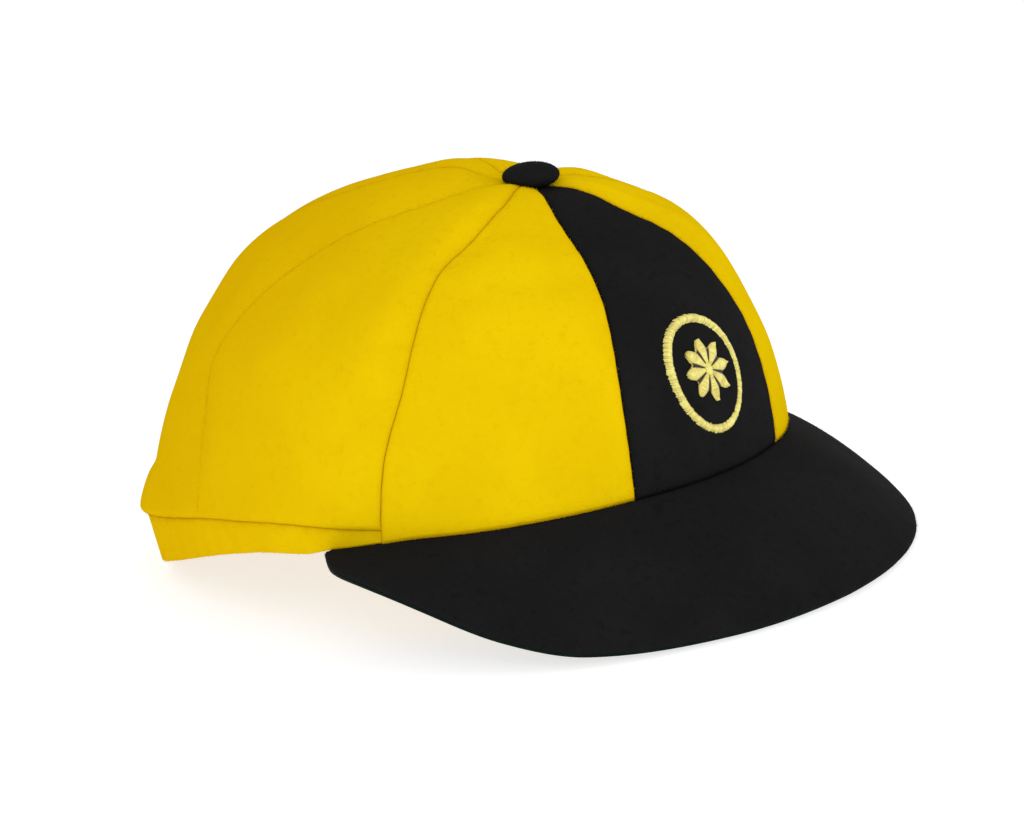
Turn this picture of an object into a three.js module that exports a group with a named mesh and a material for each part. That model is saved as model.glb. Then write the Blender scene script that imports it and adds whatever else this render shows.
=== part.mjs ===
// School cap: eight felt panels sewn to a covered button, a black peak lined with green,
// a gathered band round the back and an embroidered badge on the front panel.
// Millimetres, +Z up. The peak points to -Y and the wearer's right is -X. The cap lies on
// the plane Z = 0, on the edge of its peak and the back of its band.
import * as THREE from 'three';

// Driving dimensions of the opening, where the crown meets the peak
const HALF_WIDTH = 90;
const FRONT_HALF_LENGTH = 87.5;
const REAR_HALF_LENGTH = 108.5;
const BUTTON_FORWARD = 28.5;
const CROWN_HEIGHT = 81.5;

// How the cap lies: its front is tipped up, and the opening is this far above the surface
const FRONT_UP = 3.5;
const OPENING_LIFT = 29.4;

// Cloth
const FELT = 2;
const GAP = 0.3;

// The panels puff out between their seams, from this much at the opening, as an angle that
// grows with the rise, to nothing over the last degrees before the button
const SEAM_PUFF = 1.1;
const PUFF_FOOT = 20;
const PUFF_GROWTH = 1.6;
const PUFF_FADE = 14;

// Crown outline: what each upright section adds to a plain ellipse, by the angle above the
// opening, at the front, at the sides and at the rear
const CROWN_SECTIONS = [
  { rise: 0, front: 1.0, side: 1.0, rear: 1.045 },
  { rise: 5, front: 1.0, side: 0.993, rear: 1.004 },
  { rise: 10, front: 1.0, side: 0.99, rear: 0.956 },
  { rise: 24, front: 0.985, side: 1.005, rear: 0.975 },
  { rise: 38, front: 0.948, side: 1.03, rear: 1.074 },
  { rise: 52, front: 0.918, side: 1.035, rear: 1.156 },
  { rise: 66, front: 0.91, side: 1.02, rear: 1.148 },
  { rise: 80, front: 0.97, side: 1.03, rear: 1.102 },
  { rise: 85, front: 0.985, side: 1.02, rear: 1.035 },
  { rise: 90, front: 1.0, side: 1.0, rear: 1.0 },
];
const CENTRE_SHIFT_POWER = 2.13;
const TOP_RISE = 88.2;
const FOOT_RISE = 5;

// Seams, numbered from the front: the angle from the front of each at each rise. The first
// one on the wearer's left has its own line, because the front panel lies a little askew;
// the others are alike on both sides
const SEAMS = {
  1: [
    { rise: 0, angle: 23 },
    { rise: 20, angle: 22.8 },
    { rise: 40, angle: 22 },
    { rise: 54, angle: 23.2 },
    { rise: 66, angle: 25.8 },
    { rise: 76, angle: 29 },
    { rise: 88, angle: 26 },
  ],
  '-1': [
    { rise: 0, angle: 19.5 },
    { rise: 12, angle: 20.2 },
    { rise: 21, angle: 22.2 },
    { rise: 32, angle: 24.4 },
    { rise: 47, angle: 25.5 },
    { rise: 61, angle: 27 },
    { rise: 72, angle: 24.8 },
    { rise: 88, angle: 22.5 },
  ],
  2: [
    { rise: 0, angle: 69.3 },
    { rise: 15, angle: 68.2 },
    { rise: 30, angle: 66.4 },
    { rise: 54, angle: 69 },
    { rise: 63, angle: 68.2 },
    { rise: 70, angle: 65 },
    { rise: 76, angle: 61 },
    { rise: 88, angle: 58 },
  ],
  3: [
    { rise: 0, angle: 109.5 },
    { rise: 20, angle: 112 },
    { rise: 36, angle: 120.5 },
    { rise: 54, angle: 118.5 },
    { rise: 66, angle: 119.5 },
    { rise: 74, angle: 111 },
    { rise: 88, angle: 100 },
  ],
  4: [
    { rise: 0, angle: 157.5 },
    { rise: 20, angle: 160 },
    { rise: 36, angle: 164 },
    { rise: 66, angle: 165 },
    { rise: 88, angle: 158 },
  ],
};

// Panels, by the seam on either side of them: seam numbers are positive on the wearer's
// right and negative on the left
const PANELS = [
  { name: 'front_panel', from: -1, to: 1, colour: 'black' },
  { name: 'right_front_panel', from: 1, to: 2, colour: 'yellow' },
  { name: 'right_side_panel', from: 2, to: 3, colour: 'yellow' },
  { name: 'right_rear_panel', from: 3, to: 4, colour: 'yellow' },
  { name: 'rear_panel', from: 4, to: -4, colour: 'yellow' },
  { name: 'left_rear_panel', from: -4, to: -3, colour: 'yellow' },
  { name: 'left_side_panel', from: -3, to: -2, colour: 'yellow' },
  { name: 'left_front_panel', from: -2, to: -1, colour: 'yellow' },
];
const PANEL_COLUMNS = 9;
const PANEL_ROWS = 19;

// Main dents and folds of the crown: where each lies, how far it spreads in degrees, and
// its depth, which is negative for a ridge
const DENTS = [
  { angle: 66, rise: 62, wide: 9, high: 7, depth: 2.2 },
  { angle: 36, rise: 58, wide: 5, high: 14, depth: 1.4 },
  { angle: 44, rise: 50, wide: 16, high: 6, depth: 1.2 },
  { angle: -40, rise: 56, wide: 4, high: 18, depth: -0.9 },
  { angle: -46, rise: 27, wide: 20, high: 13, depth: 1.4 },
  { angle: 76, rise: 40, wide: 5, high: 26, depth: -1.2 },
  { angle: 92, rise: 34, wide: 8, high: 22, depth: 1.3 },
  { angle: 138, rise: 40, wide: 14, high: 14, depth: 1.6 },
  { angle: -100, rise: 44, wide: 12, high: 18, depth: 1.5 },
  { angle: -140, rise: 58, wide: 12, high: 10, depth: 1.4 },
  { angle: 180, rise: 24, wide: 16, high: 10, depth: 1.5 },
  { angle: 180, rise: 72, wide: 20, high: 8, depth: 1.2 },
];

// Hem: behind the second seams the crown rolls under to meet the band. The roll's lower side
// is this high above the opening, and its radius grows towards the rear
const HEM_START = 69;
const HEM_TURN = 50;
const HEM = [
  { angle: 69, height: 2.5, radius: 2.4 },
  { angle: 90, height: 4.9, radius: 2.5 },
  { angle: 100, height: 4.8, radius: 2.6 },
  { angle: 110, height: 3.9, radius: 2.7 },
  { angle: 130, height: -0.4, radius: 3.1 },
  { angle: 150, height: -4.2, radius: 3.4 },
  { angle: 180, height: -5.4, radius: 3.5 },
];
const HEM_STEPS = 3;
const HEM_SEAM = 0.45;

// Rear band: the height of its lower edge above the surface, by the angle from the front
const BAND_EDGE = [
  { angle: 69, height: 28.8 },
  { angle: 75, height: 27.5 },
  { angle: 80.5, height: 26.2 },
  { angle: 86, height: 24.2 },
  { angle: 95, height: 22.8 },
  { angle: 102, height: 20.8 },
  { angle: 110, height: 17.8 },
  { angle: 125, height: 11.1 },
  { angle: 140, height: 4.6 },
  { angle: 148, height: 1.3 },
  { angle: 155, height: 0 },
  { angle: 180, height: 0 },
];
const BAND_LEAN = 2.2;
const BAND_LEAN_FULL = 120;
const BAND_END_GAP = 0.3;
const BAND_COLUMNS = 54;
const BAND_ROWS = 4;

// Peak: how far its edge stands out from the opening and how far it falls below it; it falls
// a little more on the wearer's left
const PEAK_EDGE = [
  { angle: 0, reach: 35.7, fall: 32.3 },
  { angle: 20, reach: 34.6, fall: 32.1 },
  { angle: 40, reach: 32.6, fall: 29.4 },
  { angle: 50, reach: 28.8, fall: 23.4 },
  { angle: 60, reach: 22.8, fall: 14.4 },
  { angle: 70, reach: 16, fall: 5.6 },
  { angle: 76, reach: 9.6, fall: 1.8 },
  { angle: 80.5, reach: 0.5, fall: 0.1 },
];
const PEAK_END = 80.5;
const PEAK_LEFT_DROP = 2.2;
const PEAK_LEFT_FADE = 8;
const PEAK_SLOPE_REACH = 4;
const PEAK_UPPER = 1.8;
const PEAK_LINING = 1;
const PEAK_BULGE = 2.2;
const PEAK_COLUMNS = 44;
const PEAK_ROWS = 6;
const PEAK_END_SAG = 2.4;
const PEAK_SAG_START = 60;
const PEAK_SAG_FADE = 6;

// Button: its middle is this far in front of the crown's highest point and this high
const BUTTON_RADIUS = 8.15;
const BUTTON_AHEAD = 2.5;
const BUTTON_MIDDLE = 83.9;
const BUTTON_HALF_HEIGHT = 3.75;
const BUTTON_CLEARANCE = 0.5;
const BUTTON_FRONT_DOWN = 3.5;
const BUTTON_SIDES = 24;
const BUTTON_SHARES = [0.3, 0.6, 0.8, 0.93];

// Badge: an oval ring round a rosette, a little to the wearer's right of the panel's middle
const BADGE_RISE = 20.5;
const BADGE_ASIDE = 2;
const BADGE_HALF_WIDTH = 14.5;
const BADGE_HALF_HEIGHT = 16.8;
const BADGE_RING_WIDTH = 1.9;
const BADGE_THICKNESS = 1;
const BADGE_CLEARANCE = 0.35;
const ROSETTE_RADIUS = 8.8;
const BADGE_SHOULDER = 0.6;
const BADGE_RING_PLACES = 40;
const ROSETTE_PETALS = 8;
const ROSETTE_SCALLOP = 0.17;
const ROSETTE_PETAL_PLACES = 6;
const ROSETTE_UNDER = 0.5;
const ROSETTE_TOP = 0.6;

// How the normals and the crown's height are worked out
const NORMAL_STEP = 0.4;
const NORMAL_HIGHEST = 89;
const NORMAL_UPWARDS = 0.5;
const CROWN_TOP_LOWEST = 60;
const HALVINGS = 30;

const COLOURS = {
  yellow: { color: 0xe2c000, roughness: 0.92, metalness: 0 },
  black: { color: 0x1c1c1e, roughness: 0.94, metalness: 0 },
  green: { color: 0x1f3a2c, roughness: 0.88, metalness: 0 },
  gold: { color: 0xe0bd58, roughness: 0.5, metalness: 0 },
};

const toRadians = THREE.MathUtils.degToRad;
const toDegrees = THREE.MathUtils.radToDeg;
const { lerp, clamp, smoothstep } = THREE.MathUtils;
const UP = new THREE.Vector3(0, 0, 1);

// A smooth curve through two named columns of a table
function through(table, along, column) {
  const slope = (i) => {
    const a = table[Math.max(i - 1, 0)];
    const b = table[Math.min(i + 1, table.length - 1)];
    return (b[column] - a[column]) / (b[along] - a[along]);
  };
  return (value) => {
    let i = 0;
    while (i < table.length - 2 && value > table[i + 1][along]) i += 1;
    const span = table[i + 1][along] - table[i][along];
    const s = clamp((value - table[i][along]) / span, 0, 1);
    const rise = table[i + 1][column] - table[i][column];
    const cubic = s * s * (3 - 2 * s);
    const bend = s * (1 - s) * (1 - s) * slope(i) * span;
    return table[i][column] + rise * cubic + bend - s * s * (1 - s) * slope(i + 1) * span;
  };
}

const frontSection = through(CROWN_SECTIONS, 'rise', 'front');
const sideSection = through(CROWN_SECTIONS, 'rise', 'side');
const rearSection = through(CROWN_SECTIONS, 'rise', 'rear');
const peakReach = through(PEAK_EDGE, 'angle', 'reach');
const peakFall = through(PEAK_EDGE, 'angle', 'fall');
const bandEdgeHeight = through(BAND_EDGE, 'angle', 'height');
const hemHeight = through(HEM, 'angle', 'height');
const hemRadius = through(HEM, 'angle', 'radius');
const seamCurves = Object.fromEntries(
  Object.entries(SEAMS).map(([number, table]) => [number, through(table, 'rise', 'angle')]),
);

// The angle from the front, 0 to 180, of any angle round the cap
function fromFront(angle) {
  return Math.abs(((angle + 540) % 360) - 180);
}

// A point of the opening's oval, moved outwards, at a height above the opening
function onOval(angle, outwards, height) {
  const c = Math.cos(toRadians(angle));
  const halfLength = c > 0 ? FRONT_HALF_LENGTH : REAR_HALF_LENGTH;
  const x = -(HALF_WIDTH + outwards) * Math.sin(toRadians(angle));
  return new THREE.Vector3(x, BUTTON_FORWARD - (halfLength + outwards) * c, height);
}

// The direction that leads straight out of the oval
function outOfOval(angle) {
  const c = Math.cos(toRadians(angle));
  const halfLength = c > 0 ? FRONT_HALF_LENGTH : REAR_HALF_LENGTH;
  const x = -Math.sin(toRadians(angle)) / HALF_WIDTH;
  return new THREE.Vector3(x, -c / halfLength, 0).normalize();
}

// How far behind the button the middle of the crown's section is at a rise
function centreAt(rise) {
  return BUTTON_FORWARD * (1 - Math.max(Math.sin(toRadians(rise)), 0) ** CENTRE_SHIFT_POWER);
}

// The smooth dome on which the panels lie
function dome(angle, rise) {
  const c = Math.cos(toRadians(angle));
  const s = Math.sin(toRadians(angle));
  const lengthwise = c > 0 ? frontSection(rise) : rearSection(rise);
  const section = c * c * lengthwise + s * s * sideSection(rise);
  const reach = section * Math.cos(toRadians(rise));
  const halfLength = c > 0 ? FRONT_HALF_LENGTH : REAR_HALF_LENGTH;
  return new THREE.Vector3(
    -HALF_WIDTH * s * reach,
    centreAt(rise) - halfLength * c * reach,
    CROWN_HEIGHT * section * Math.sin(toRadians(rise)),
  );
}

function domeNormal(angle, rise) {
  const low = rise - NORMAL_STEP;
  const high = Math.min(rise + NORMAL_STEP, NORMAL_HIGHEST);
  const round = dome(angle + NORMAL_STEP, rise).sub(dome(angle - NORMAL_STEP, rise));
  const upwards = dome(angle, high).sub(dome(angle, low));
  const normal = upwards.cross(round).normalize();
  const outwards = outOfOval(angle).addScaledVector(UP, NORMAL_UPWARDS);
  return normal.dot(outwards) < 0 ? normal.negate() : normal;
}

function dentDepth(angle, rise) {
  let depth = 0;
  for (const dent of DENTS) {
    const across = (((angle - dent.angle + 540) % 360) - 180) / dent.wide;
    const upwards = (rise - dent.rise) / dent.high;
    depth += dent.depth * Math.exp(-across * across - upwards * upwards);
  }
  return depth;
}

function seamAngle(number, rise) {
  const curve = seamCurves[number] ?? seamCurves[-number];
  return Math.sign(number) * curve(rise);
}

function panelAngle(panel, across, rise) {
  const start = seamAngle(panel.from, rise);
  const end = seamAngle(panel.to, rise);
  return lerp(start, end < start ? end + 360 : end, across);
}

// How far the panel stands off the dome: it puffs between its seams and dents inwards
function panelRelief(across, angle, rise) {
  const upwards = Math.sin(toRadians(clamp(rise * PUFF_GROWTH + PUFF_FOOT, 0, 90)));
  const fade = upwards * smoothstep(TOP_RISE - rise, 0, PUFF_FADE);
  const puff = SEAM_PUFF * (1 - (2 * across - 1) ** 2);
  return (puff - dentDepth(angle, rise)) * fade;
}

// Tips the cap to the way that it lies and flattens the cloth that would pass the surface
function settle(point) {
  const settled = point.clone().applyAxisAngle(new THREE.Vector3(1, 0, 0), -toRadians(FRONT_UP));
  settled.z = Math.max(settled.z + OPENING_LIFT, 0);
  return settled;
}

// The height above the opening's plane of a point that is to lie at a given height
function heightInCap(point, height) {
  const tip = toRadians(FRONT_UP);
  return (height - OPENING_LIFT + point.y * Math.sin(tip)) / Math.cos(tip);
}

// A closed solid between two sheets of points, each a list of rows of the same length
function solidBetween(outer, inner) {
  const rows = outer.length;
  const columns = outer[0].length;
  const points = [...outer.flat(), ...inner.flat()];
  const index = (sheet, row, column) => (sheet * rows + row) * columns + column;
  const triangles = [];
  const quad = (a, b, c, d) => triangles.push(a, b, c, a, c, d);
  for (let row = 0; row < rows - 1; row += 1) {
    for (let column = 0; column < columns - 1; column += 1) {
      const corners = [[row, column], [row, column + 1], [row + 1, column + 1], [row + 1, column]];
      quad(...corners.map(([r, c]) => index(0, r, c)));
      quad(...corners.reverse().map(([r, c]) => index(1, r, c)));
    }
  }
  for (let column = 0; column < columns - 1; column += 1) {
    quad(index(0, 0, column + 1), index(0, 0, column), index(1, 0, column), index(1, 0, column + 1));
    quad(index(0, rows - 1, column), index(0, rows - 1, column + 1),
      index(1, rows - 1, column + 1), index(1, rows - 1, column));
  }
  for (let row = 0; row < rows - 1; row += 1) {
    quad(index(0, row, 0), index(0, row + 1, 0), index(1, row + 1, 0), index(1, row, 0));
    quad(index(0, row + 1, columns - 1), index(0, row, columns - 1),
      index(1, row, columns - 1), index(1, row + 1, columns - 1));
  }
  return closedGeometry(points, triangles);
}

// A closed solid round an axis: rings of points from a first pole to a last one
function solidOfRings(firstPole, rings, lastPole) {
  const sides = rings[0].length;
  const points = [firstPole, ...rings.flat(), lastPole];
  const index = (ring, side) => 1 + ring * sides + (side % sides);
  const triangles = [];
  for (let side = 0; side < sides; side += 1) {
    triangles.push(0, index(0, side + 1), index(0, side));
    for (let ring = 0; ring < rings.length - 1; ring += 1) {
      triangles.push(index(ring, side), index(ring, side + 1), index(ring + 1, side + 1));
      triangles.push(index(ring, side), index(ring + 1, side + 1), index(ring + 1, side));
    }
    triangles.push(index(rings.length - 1, side), index(rings.length - 1, side + 1), points.length - 1);
  }
  return closedGeometry(points, triangles);
}

// A closed solid round a loop: for each place round it, the corners of its cross-section
function solidOfLoop(sections) {
  const sides = sections[0].length;
  const points = sections.flat();
  const index = (place, side) => (place % sections.length) * sides + (side % sides);
  const triangles = [];
  for (let place = 0; place < sections.length; place += 1) {
    for (let side = 0; side < sides; side += 1) {
      triangles.push(index(place, side), index(place + 1, side), index(place + 1, side + 1));
      triangles.push(index(place, side), index(place + 1, side + 1), index(place, side + 1));
    }
  }
  return closedGeometry(points, triangles);
}

// Makes the geometry, with its faces turned outwards
function closedGeometry(points, triangles) {
  let volume = 0;
  for (let i = 0; i < triangles.length; i += 3) {
    const [a, b, c] = [points[triangles[i]], points[triangles[i + 1]], points[triangles[i + 2]]];
    volume += a.dot(b.clone().cross(c));
  }
  const outwards = volume > 0 ? triangles : triangles.slice().reverse();
  const geometry = new THREE.BufferGeometry().setFromPoints(points);
  geometry.setIndex(outwards);
  geometry.computeVertexNormals();
  return geometry;
}

// Even steps from one number to another, both ends included
function steps(from, to, count) {
  return Array.from({ length: count + 1 }, (_, i) => lerp(from, to, i / count));
}

// The angle above the opening at which the crown turns under into its hem
function hemRise(angle) {
  const away = fromFront(angle);
  const foot = hemHeight(away) + hemRadius(away) * Math.sin(toRadians(HEM_TURN));
  return toDegrees(Math.asin(foot / CROWN_HEIGHT));
}

// A point of the hem's roll, turned this far under the crown's foot
function rolled(foot, angle, radius, turn) {
  return foot.clone()
    .addScaledVector(outOfOval(angle), -radius * (1 - Math.cos(turn)))
    .addScaledVector(UP, -radius * Math.sin(turn));
}

// The peak's opening edge hangs a little lower at its two ends
function openingHeight(angle) {
  return -PEAK_END_SAG * smoothstep(fromFront(angle), PEAK_SAG_START, PEAK_END);
}

// One row of places across a panel, from its foot, 0, to the button, 1
function panelRow(panel, part, hemmed) {
  const footRise = (angle) => (hemmed ? hemRise(angle) : 0);
  const middleRise = lerp(footRise(panelAngle(panel, 0.5, 0)), TOP_RISE, part);
  const width = HALF_WIDTH * toRadians(360 / PANELS.length) * Math.cos(toRadians(middleRise));
  const margin = GAP / 2 / width;
  return steps(margin, 1 - margin, PANEL_COLUMNS).map((across) => {
    const rise = lerp(footRise(panelAngle(panel, across, FOOT_RISE)), TOP_RISE, part);
    const angle = panelAngle(panel, across, rise);
    const normal = domeNormal(angle, rise);
    const out = dome(angle, rise).addScaledVector(normal, panelRelief(across, angle, rise));
    if (!hemmed) out.z += openingHeight(angle) * (1 - part) ** PEAK_SAG_FADE;
    const inwards = part > 0 ? normal.negate() : outOfOval(angle).negate();
    return { angle, out, in: out.clone().addScaledVector(inwards, FELT) };
  });
}

// The hem's rows, from its lower edge up to the crown's foot
function hemRows(foot) {
  return steps(toRadians(HEM_TURN), 0, HEM_STEPS).slice(0, -1).map((turn) => foot.map((place) => {
    const radius = hemRadius(fromFront(place.angle));
    return {
      out: rolled(place.out, place.angle, radius, turn),
      in: rolled(place.in, place.angle, radius - FELT, turn),
    };
  }));
}

function panelGeometry(panel) {
  const hemmed = Math.abs(panel.from) > 1 && Math.abs(panel.to) > 1;
  const rows = steps(0, 1, PANEL_ROWS).map((part) => panelRow(panel, part, hemmed));
  if (hemmed) rows.unshift(...hemRows(rows[0]));
  const sheet = (side) => rows.map((row) => row.map((place) => settle(place[side])));
  return solidBetween(sheet('out'), sheet('in'));
}

// How much further the peak falls at an angle on the wearer's left, and less on the right
function leftDrop(angle) {
  const aside = Math.sin(toRadians(angle));
  return -PEAK_LEFT_DROP * aside * Math.abs(aside) * (1 - (fromFront(angle) / PEAK_END) ** PEAK_LEFT_FADE);
}

// One of the peak's surfaces, this far below its upper one, in rows from opening to edge
function peakSheet(depth) {
  return steps(0, 1, PEAK_ROWS).map((part) => steps(-PEAK_END, PEAK_END, PEAK_COLUMNS).map((angle) => {
    const away = fromFront(angle);
    const reach = lerp(-FELT, peakReach(away), part);
    const outwards = Math.max(reach, 0) / peakReach(away);
    const fall = peakFall(away) + leftDrop(angle);
    const arch = PEAK_BULGE * (1 - (2 * outwards - 1) ** 2) * Math.cos(toRadians(angle));
    const height = openingHeight(angle) - GAP - fall * outwards + arch;
    const slope = Math.atan2(fall, Math.max(peakReach(away), PEAK_SLOPE_REACH)) * outwards;
    const point = onOval(angle, reach, height)
      .addScaledVector(outOfOval(angle), -depth * Math.sin(slope))
      .addScaledVector(UP, -depth * Math.cos(slope));
    return settle(point);
  }));
}

function peakGeometry() {
  return solidBetween(peakSheet(0), peakSheet(PEAK_UPPER));
}

function liningGeometry() {
  return solidBetween(peakSheet(PEAK_UPPER + GAP), peakSheet(PEAK_UPPER + GAP + PEAK_LINING));
}

// The band hangs from the hem, leans inwards and follows the peak's ends
function bandGeometry() {
  const turn = toRadians(HEM_TURN);
  const angles = steps(HEM_START + BAND_END_GAP, 360 - HEM_START - BAND_END_GAP, BAND_COLUMNS);
  const sheets = [0, 1].map((side) => steps(0, 1, BAND_ROWS).map((part) => angles.map((angle) => {
    const away = fromFront(angle);
    const out = outOfOval(angle);
    const top = rolled(
      dome(angle, hemRise(angle)).addScaledVector(out, -side * FELT),
      angle,
      hemRadius(away) - side * FELT,
      turn,
    ).addScaledVector(out, -HEM_SEAM * Math.sin(turn)).addScaledVector(UP, -HEM_SEAM * Math.cos(turn));
    const lean = BAND_LEAN * smoothstep(away, HEM_START, BAND_LEAN_FULL);
    const inset = hemRadius(away) * (1 - Math.cos(turn)) + HEM_SEAM * Math.sin(turn) + lean;
    const foot = dome(angle, hemRise(angle)).addScaledVector(out, -inset - side * FELT);
    foot.z = heightInCap(foot, bandEdgeHeight(away));
    return settle(top.lerp(foot, part));
  })));
  return solidBetween(sheets[0], sheets[1]);
}

// The crown's height at a place near its top
function crownHeight(x, y) {
  let low = CROWN_TOP_LOWEST;
  let high = 90;
  for (let i = 0; i < HALVINGS; i += 1) {
    const rise = (low + high) / 2;
    const point = domeTowards(x, y, rise);
    if (Math.hypot(point.x, point.y - centreAt(rise)) > Math.hypot(x, y - centreAt(rise))) low = rise;
    else high = rise;
  }
  return domeTowards(x, y, low).z;
}

// The dome's point at a rise, in the direction of a place
function domeTowards(x, y, rise) {
  const ahead = centreAt(rise) - y;
  const halfLength = ahead > 0 ? FRONT_HALF_LENGTH : REAR_HALF_LENGTH;
  return dome(toDegrees(Math.atan2(-x / HALF_WIDTH, ahead / halfLength)), rise);
}

// The button is a flattened ball whose underside follows the crown where that is higher
function buttonGeometry() {
  const slope = Math.tan(toRadians(BUTTON_FRONT_DOWN));
  const place = (share, turn, side) => {
    const radius = BUTTON_RADIUS * share;
    const forward = radius * Math.cos(toRadians(turn));
    const x = -radius * Math.sin(toRadians(turn));
    const y = -forward - BUTTON_AHEAD;
    const middle = BUTTON_MIDDLE - forward * slope;
    const bulge = BUTTON_HALF_HEIGHT * Math.sqrt(1 - share * share);
    const under = Math.max(middle - bulge, crownHeight(x, y) + BUTTON_CLEARANCE);
    return settle(new THREE.Vector3(x, y, side < 0 ? under : Math.max(middle + bulge, under)));
  };
  const turns = steps(0, 360, BUTTON_SIDES).slice(0, -1);
  const ring = (share, side) => turns.map((turn) => place(share, turn, side));
  const under = BUTTON_SHARES.map((share) => ring(share, -1));
  const over = BUTTON_SHARES.map((share) => ring(share, 1)).reverse();
  return solidOfRings(place(0, 0, -1), [...under, ring(1, -1), ...over], place(0, 0, 1));
}

// A place on the front panel, given across and up from the badge's centre, lifted off it
function onFrontPanel(x, y, lift) {
  const perDegree = dome(0, BADGE_RISE + 1).distanceTo(dome(0, BADGE_RISE));
  const rise = BADGE_RISE + y / perDegree;
  const width = HALF_WIDTH * frontSection(rise) * Math.cos(toRadians(rise));
  const angle = toDegrees(Math.asin((BADGE_ASIDE - x) / width));
  const across = (angle - seamAngle(-1, rise)) / (seamAngle(1, rise) - seamAngle(-1, rise));
  const normal = domeNormal(angle, rise);
  return settle(dome(angle, rise).addScaledVector(normal, panelRelief(across, angle, rise) + lift));
}

function badgeRingGeometry() {
  const sections = steps(0, 360, BADGE_RING_PLACES).slice(0, -1).map((turn) => {
    const x = Math.cos(toRadians(turn));
    const y = Math.sin(toRadians(turn));
    const corner = (width, lift) => onFrontPanel(
      x * (BADGE_HALF_WIDTH - width),
      y * (BADGE_HALF_HEIGHT - width),
      lift,
    );
    const top = BADGE_CLEARANCE + BADGE_THICKNESS;
    return [
      corner(0, BADGE_CLEARANCE),
      corner(0, BADGE_CLEARANCE + BADGE_THICKNESS * BADGE_SHOULDER),
      corner(BADGE_RING_WIDTH / 2, top),
      corner(BADGE_RING_WIDTH, BADGE_CLEARANCE + BADGE_THICKNESS * BADGE_SHOULDER),
      corner(BADGE_RING_WIDTH, BADGE_CLEARANCE),
    ];
  });
  return solidOfLoop(sections);
}

function rosetteGeometry() {
  const turns = steps(0, 360, ROSETTE_PETALS * ROSETTE_PETAL_PLACES).slice(0, -1);
  const ring = (size, lift) => turns.map((turn) => {
    const scallop = 1 - ROSETTE_SCALLOP * (1 - Math.cos(toRadians(turn * ROSETTE_PETALS)));
    const radius = ROSETTE_RADIUS * size * lerp(1, scallop, size);
    return onFrontPanel(radius * Math.sin(toRadians(turn)), radius * Math.cos(toRadians(turn)), lift);
  });
  const low = BADGE_CLEARANCE;
  const high = BADGE_CLEARANCE + BADGE_THICKNESS;
  const rings = [
    ring(ROSETTE_UNDER, low),
    ring(1, low),
    ring(1, lerp(low, high, BADGE_SHOULDER)),
    ring(ROSETTE_TOP, high),
  ];
  return solidOfRings(onFrontPanel(0, 0, low), rings, onFrontPanel(0, 0, high));
}

const cap = new THREE.Group();
cap.name = 'school_cap';

function addPiece(name, colour, geometry) {
  const mesh = new THREE.Mesh(geometry, new THREE.MeshStandardMaterial(COLOURS[colour]));
  mesh.name = name;
  cap.add(mesh);
}

for (const panel of PANELS) {
  addPiece(panel.name, panel.colour, panelGeometry(panel));
}
addPiece('rear_band', 'yellow', bandGeometry());
addPiece('top_button', 'black', buttonGeometry());
addPiece('peak', 'black', peakGeometry());
addPiece('peak_lining', 'green', liningGeometry());
addPiece('badge_ring', 'gold', badgeRingGeometry());
addPiece('badge_rosette', 'gold', rosetteGeometry());

// The origin is the middle of the cap's length and width, on the surface that it lies on
const bounds = new THREE.Box3().setFromObject(cap);
const middle = bounds.getCenter(new THREE.Vector3());
cap.position.set(-middle.x, -middle.y, -bounds.min.z);

export default cap;
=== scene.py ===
"""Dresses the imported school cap: felt panels, covered button, lined peak, band and badge.

Sizes are millimetres and degrees in the classes and metres in the meshes, in the frame of
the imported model. An angle of 0 is the front of the cap and angles grow towards the wearer's
right; a rise of 0 is the opening and 90 is the top.
"""

import logging
import math
from collections.abc import Callable, Mapping, Sequence
from dataclasses import dataclass, field
from enum import Enum
from typing import Any

import bpy
import numpy as np
from mathutils import Matrix, Vector


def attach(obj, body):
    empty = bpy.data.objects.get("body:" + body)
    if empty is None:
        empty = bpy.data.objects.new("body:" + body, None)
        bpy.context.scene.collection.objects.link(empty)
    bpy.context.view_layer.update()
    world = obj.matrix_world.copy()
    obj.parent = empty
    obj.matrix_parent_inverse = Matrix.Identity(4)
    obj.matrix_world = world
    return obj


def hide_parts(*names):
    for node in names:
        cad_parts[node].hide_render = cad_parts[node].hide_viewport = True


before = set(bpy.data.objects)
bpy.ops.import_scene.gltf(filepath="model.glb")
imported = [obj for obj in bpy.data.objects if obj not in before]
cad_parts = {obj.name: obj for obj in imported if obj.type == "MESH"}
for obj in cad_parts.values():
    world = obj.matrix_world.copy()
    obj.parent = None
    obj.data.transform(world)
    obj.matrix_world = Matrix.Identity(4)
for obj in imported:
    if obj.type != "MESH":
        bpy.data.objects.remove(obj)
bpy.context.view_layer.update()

Array = np.ndarray
Rgb = tuple[float, float, float]
METRES = 0.001
UP = np.array([0.0, 0.0, 1.0])
FUZZ_LEAST = 0.03
FUZZ_REACH = 1.1
FIBRE_LENGTH = 0.75
FIBRE_THICKNESS = 0.03
log = logging.getLogger("school_cap")


class Slot(Enum):
    """The record's material slots."""

    YELLOW_FELT = "yellow_felt"
    BLACK_FELT = "black_felt"
    GREEN_CLOTH = "green_cloth"
    GOLD_THREAD = "gold_thread"


def smoothstep(value: Array, low: float, high: float) -> Array:
    """Eases from 0 at low to 1 at high."""
    s = np.clip((value - low) / (high - low), 0, 1)
    return s * s * (3 - 2 * s)


def unit(vectors: Array) -> Array:
    """Scales each vector to a length of 1."""
    return vectors / np.maximum(np.linalg.norm(vectors, axis=-1, keepdims=True), 1e-9)


def ring_turns(count: int) -> Array:
    """Directions all the way round, in radians."""
    return np.linspace(0, 2 * math.pi, count, endpoint=False)


def level(turn: Array) -> tuple[Array, Array]:
    """The sine and cosine of each angle in degrees."""
    return np.sin(np.radians(turn)), np.cos(np.radians(turn))


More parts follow.
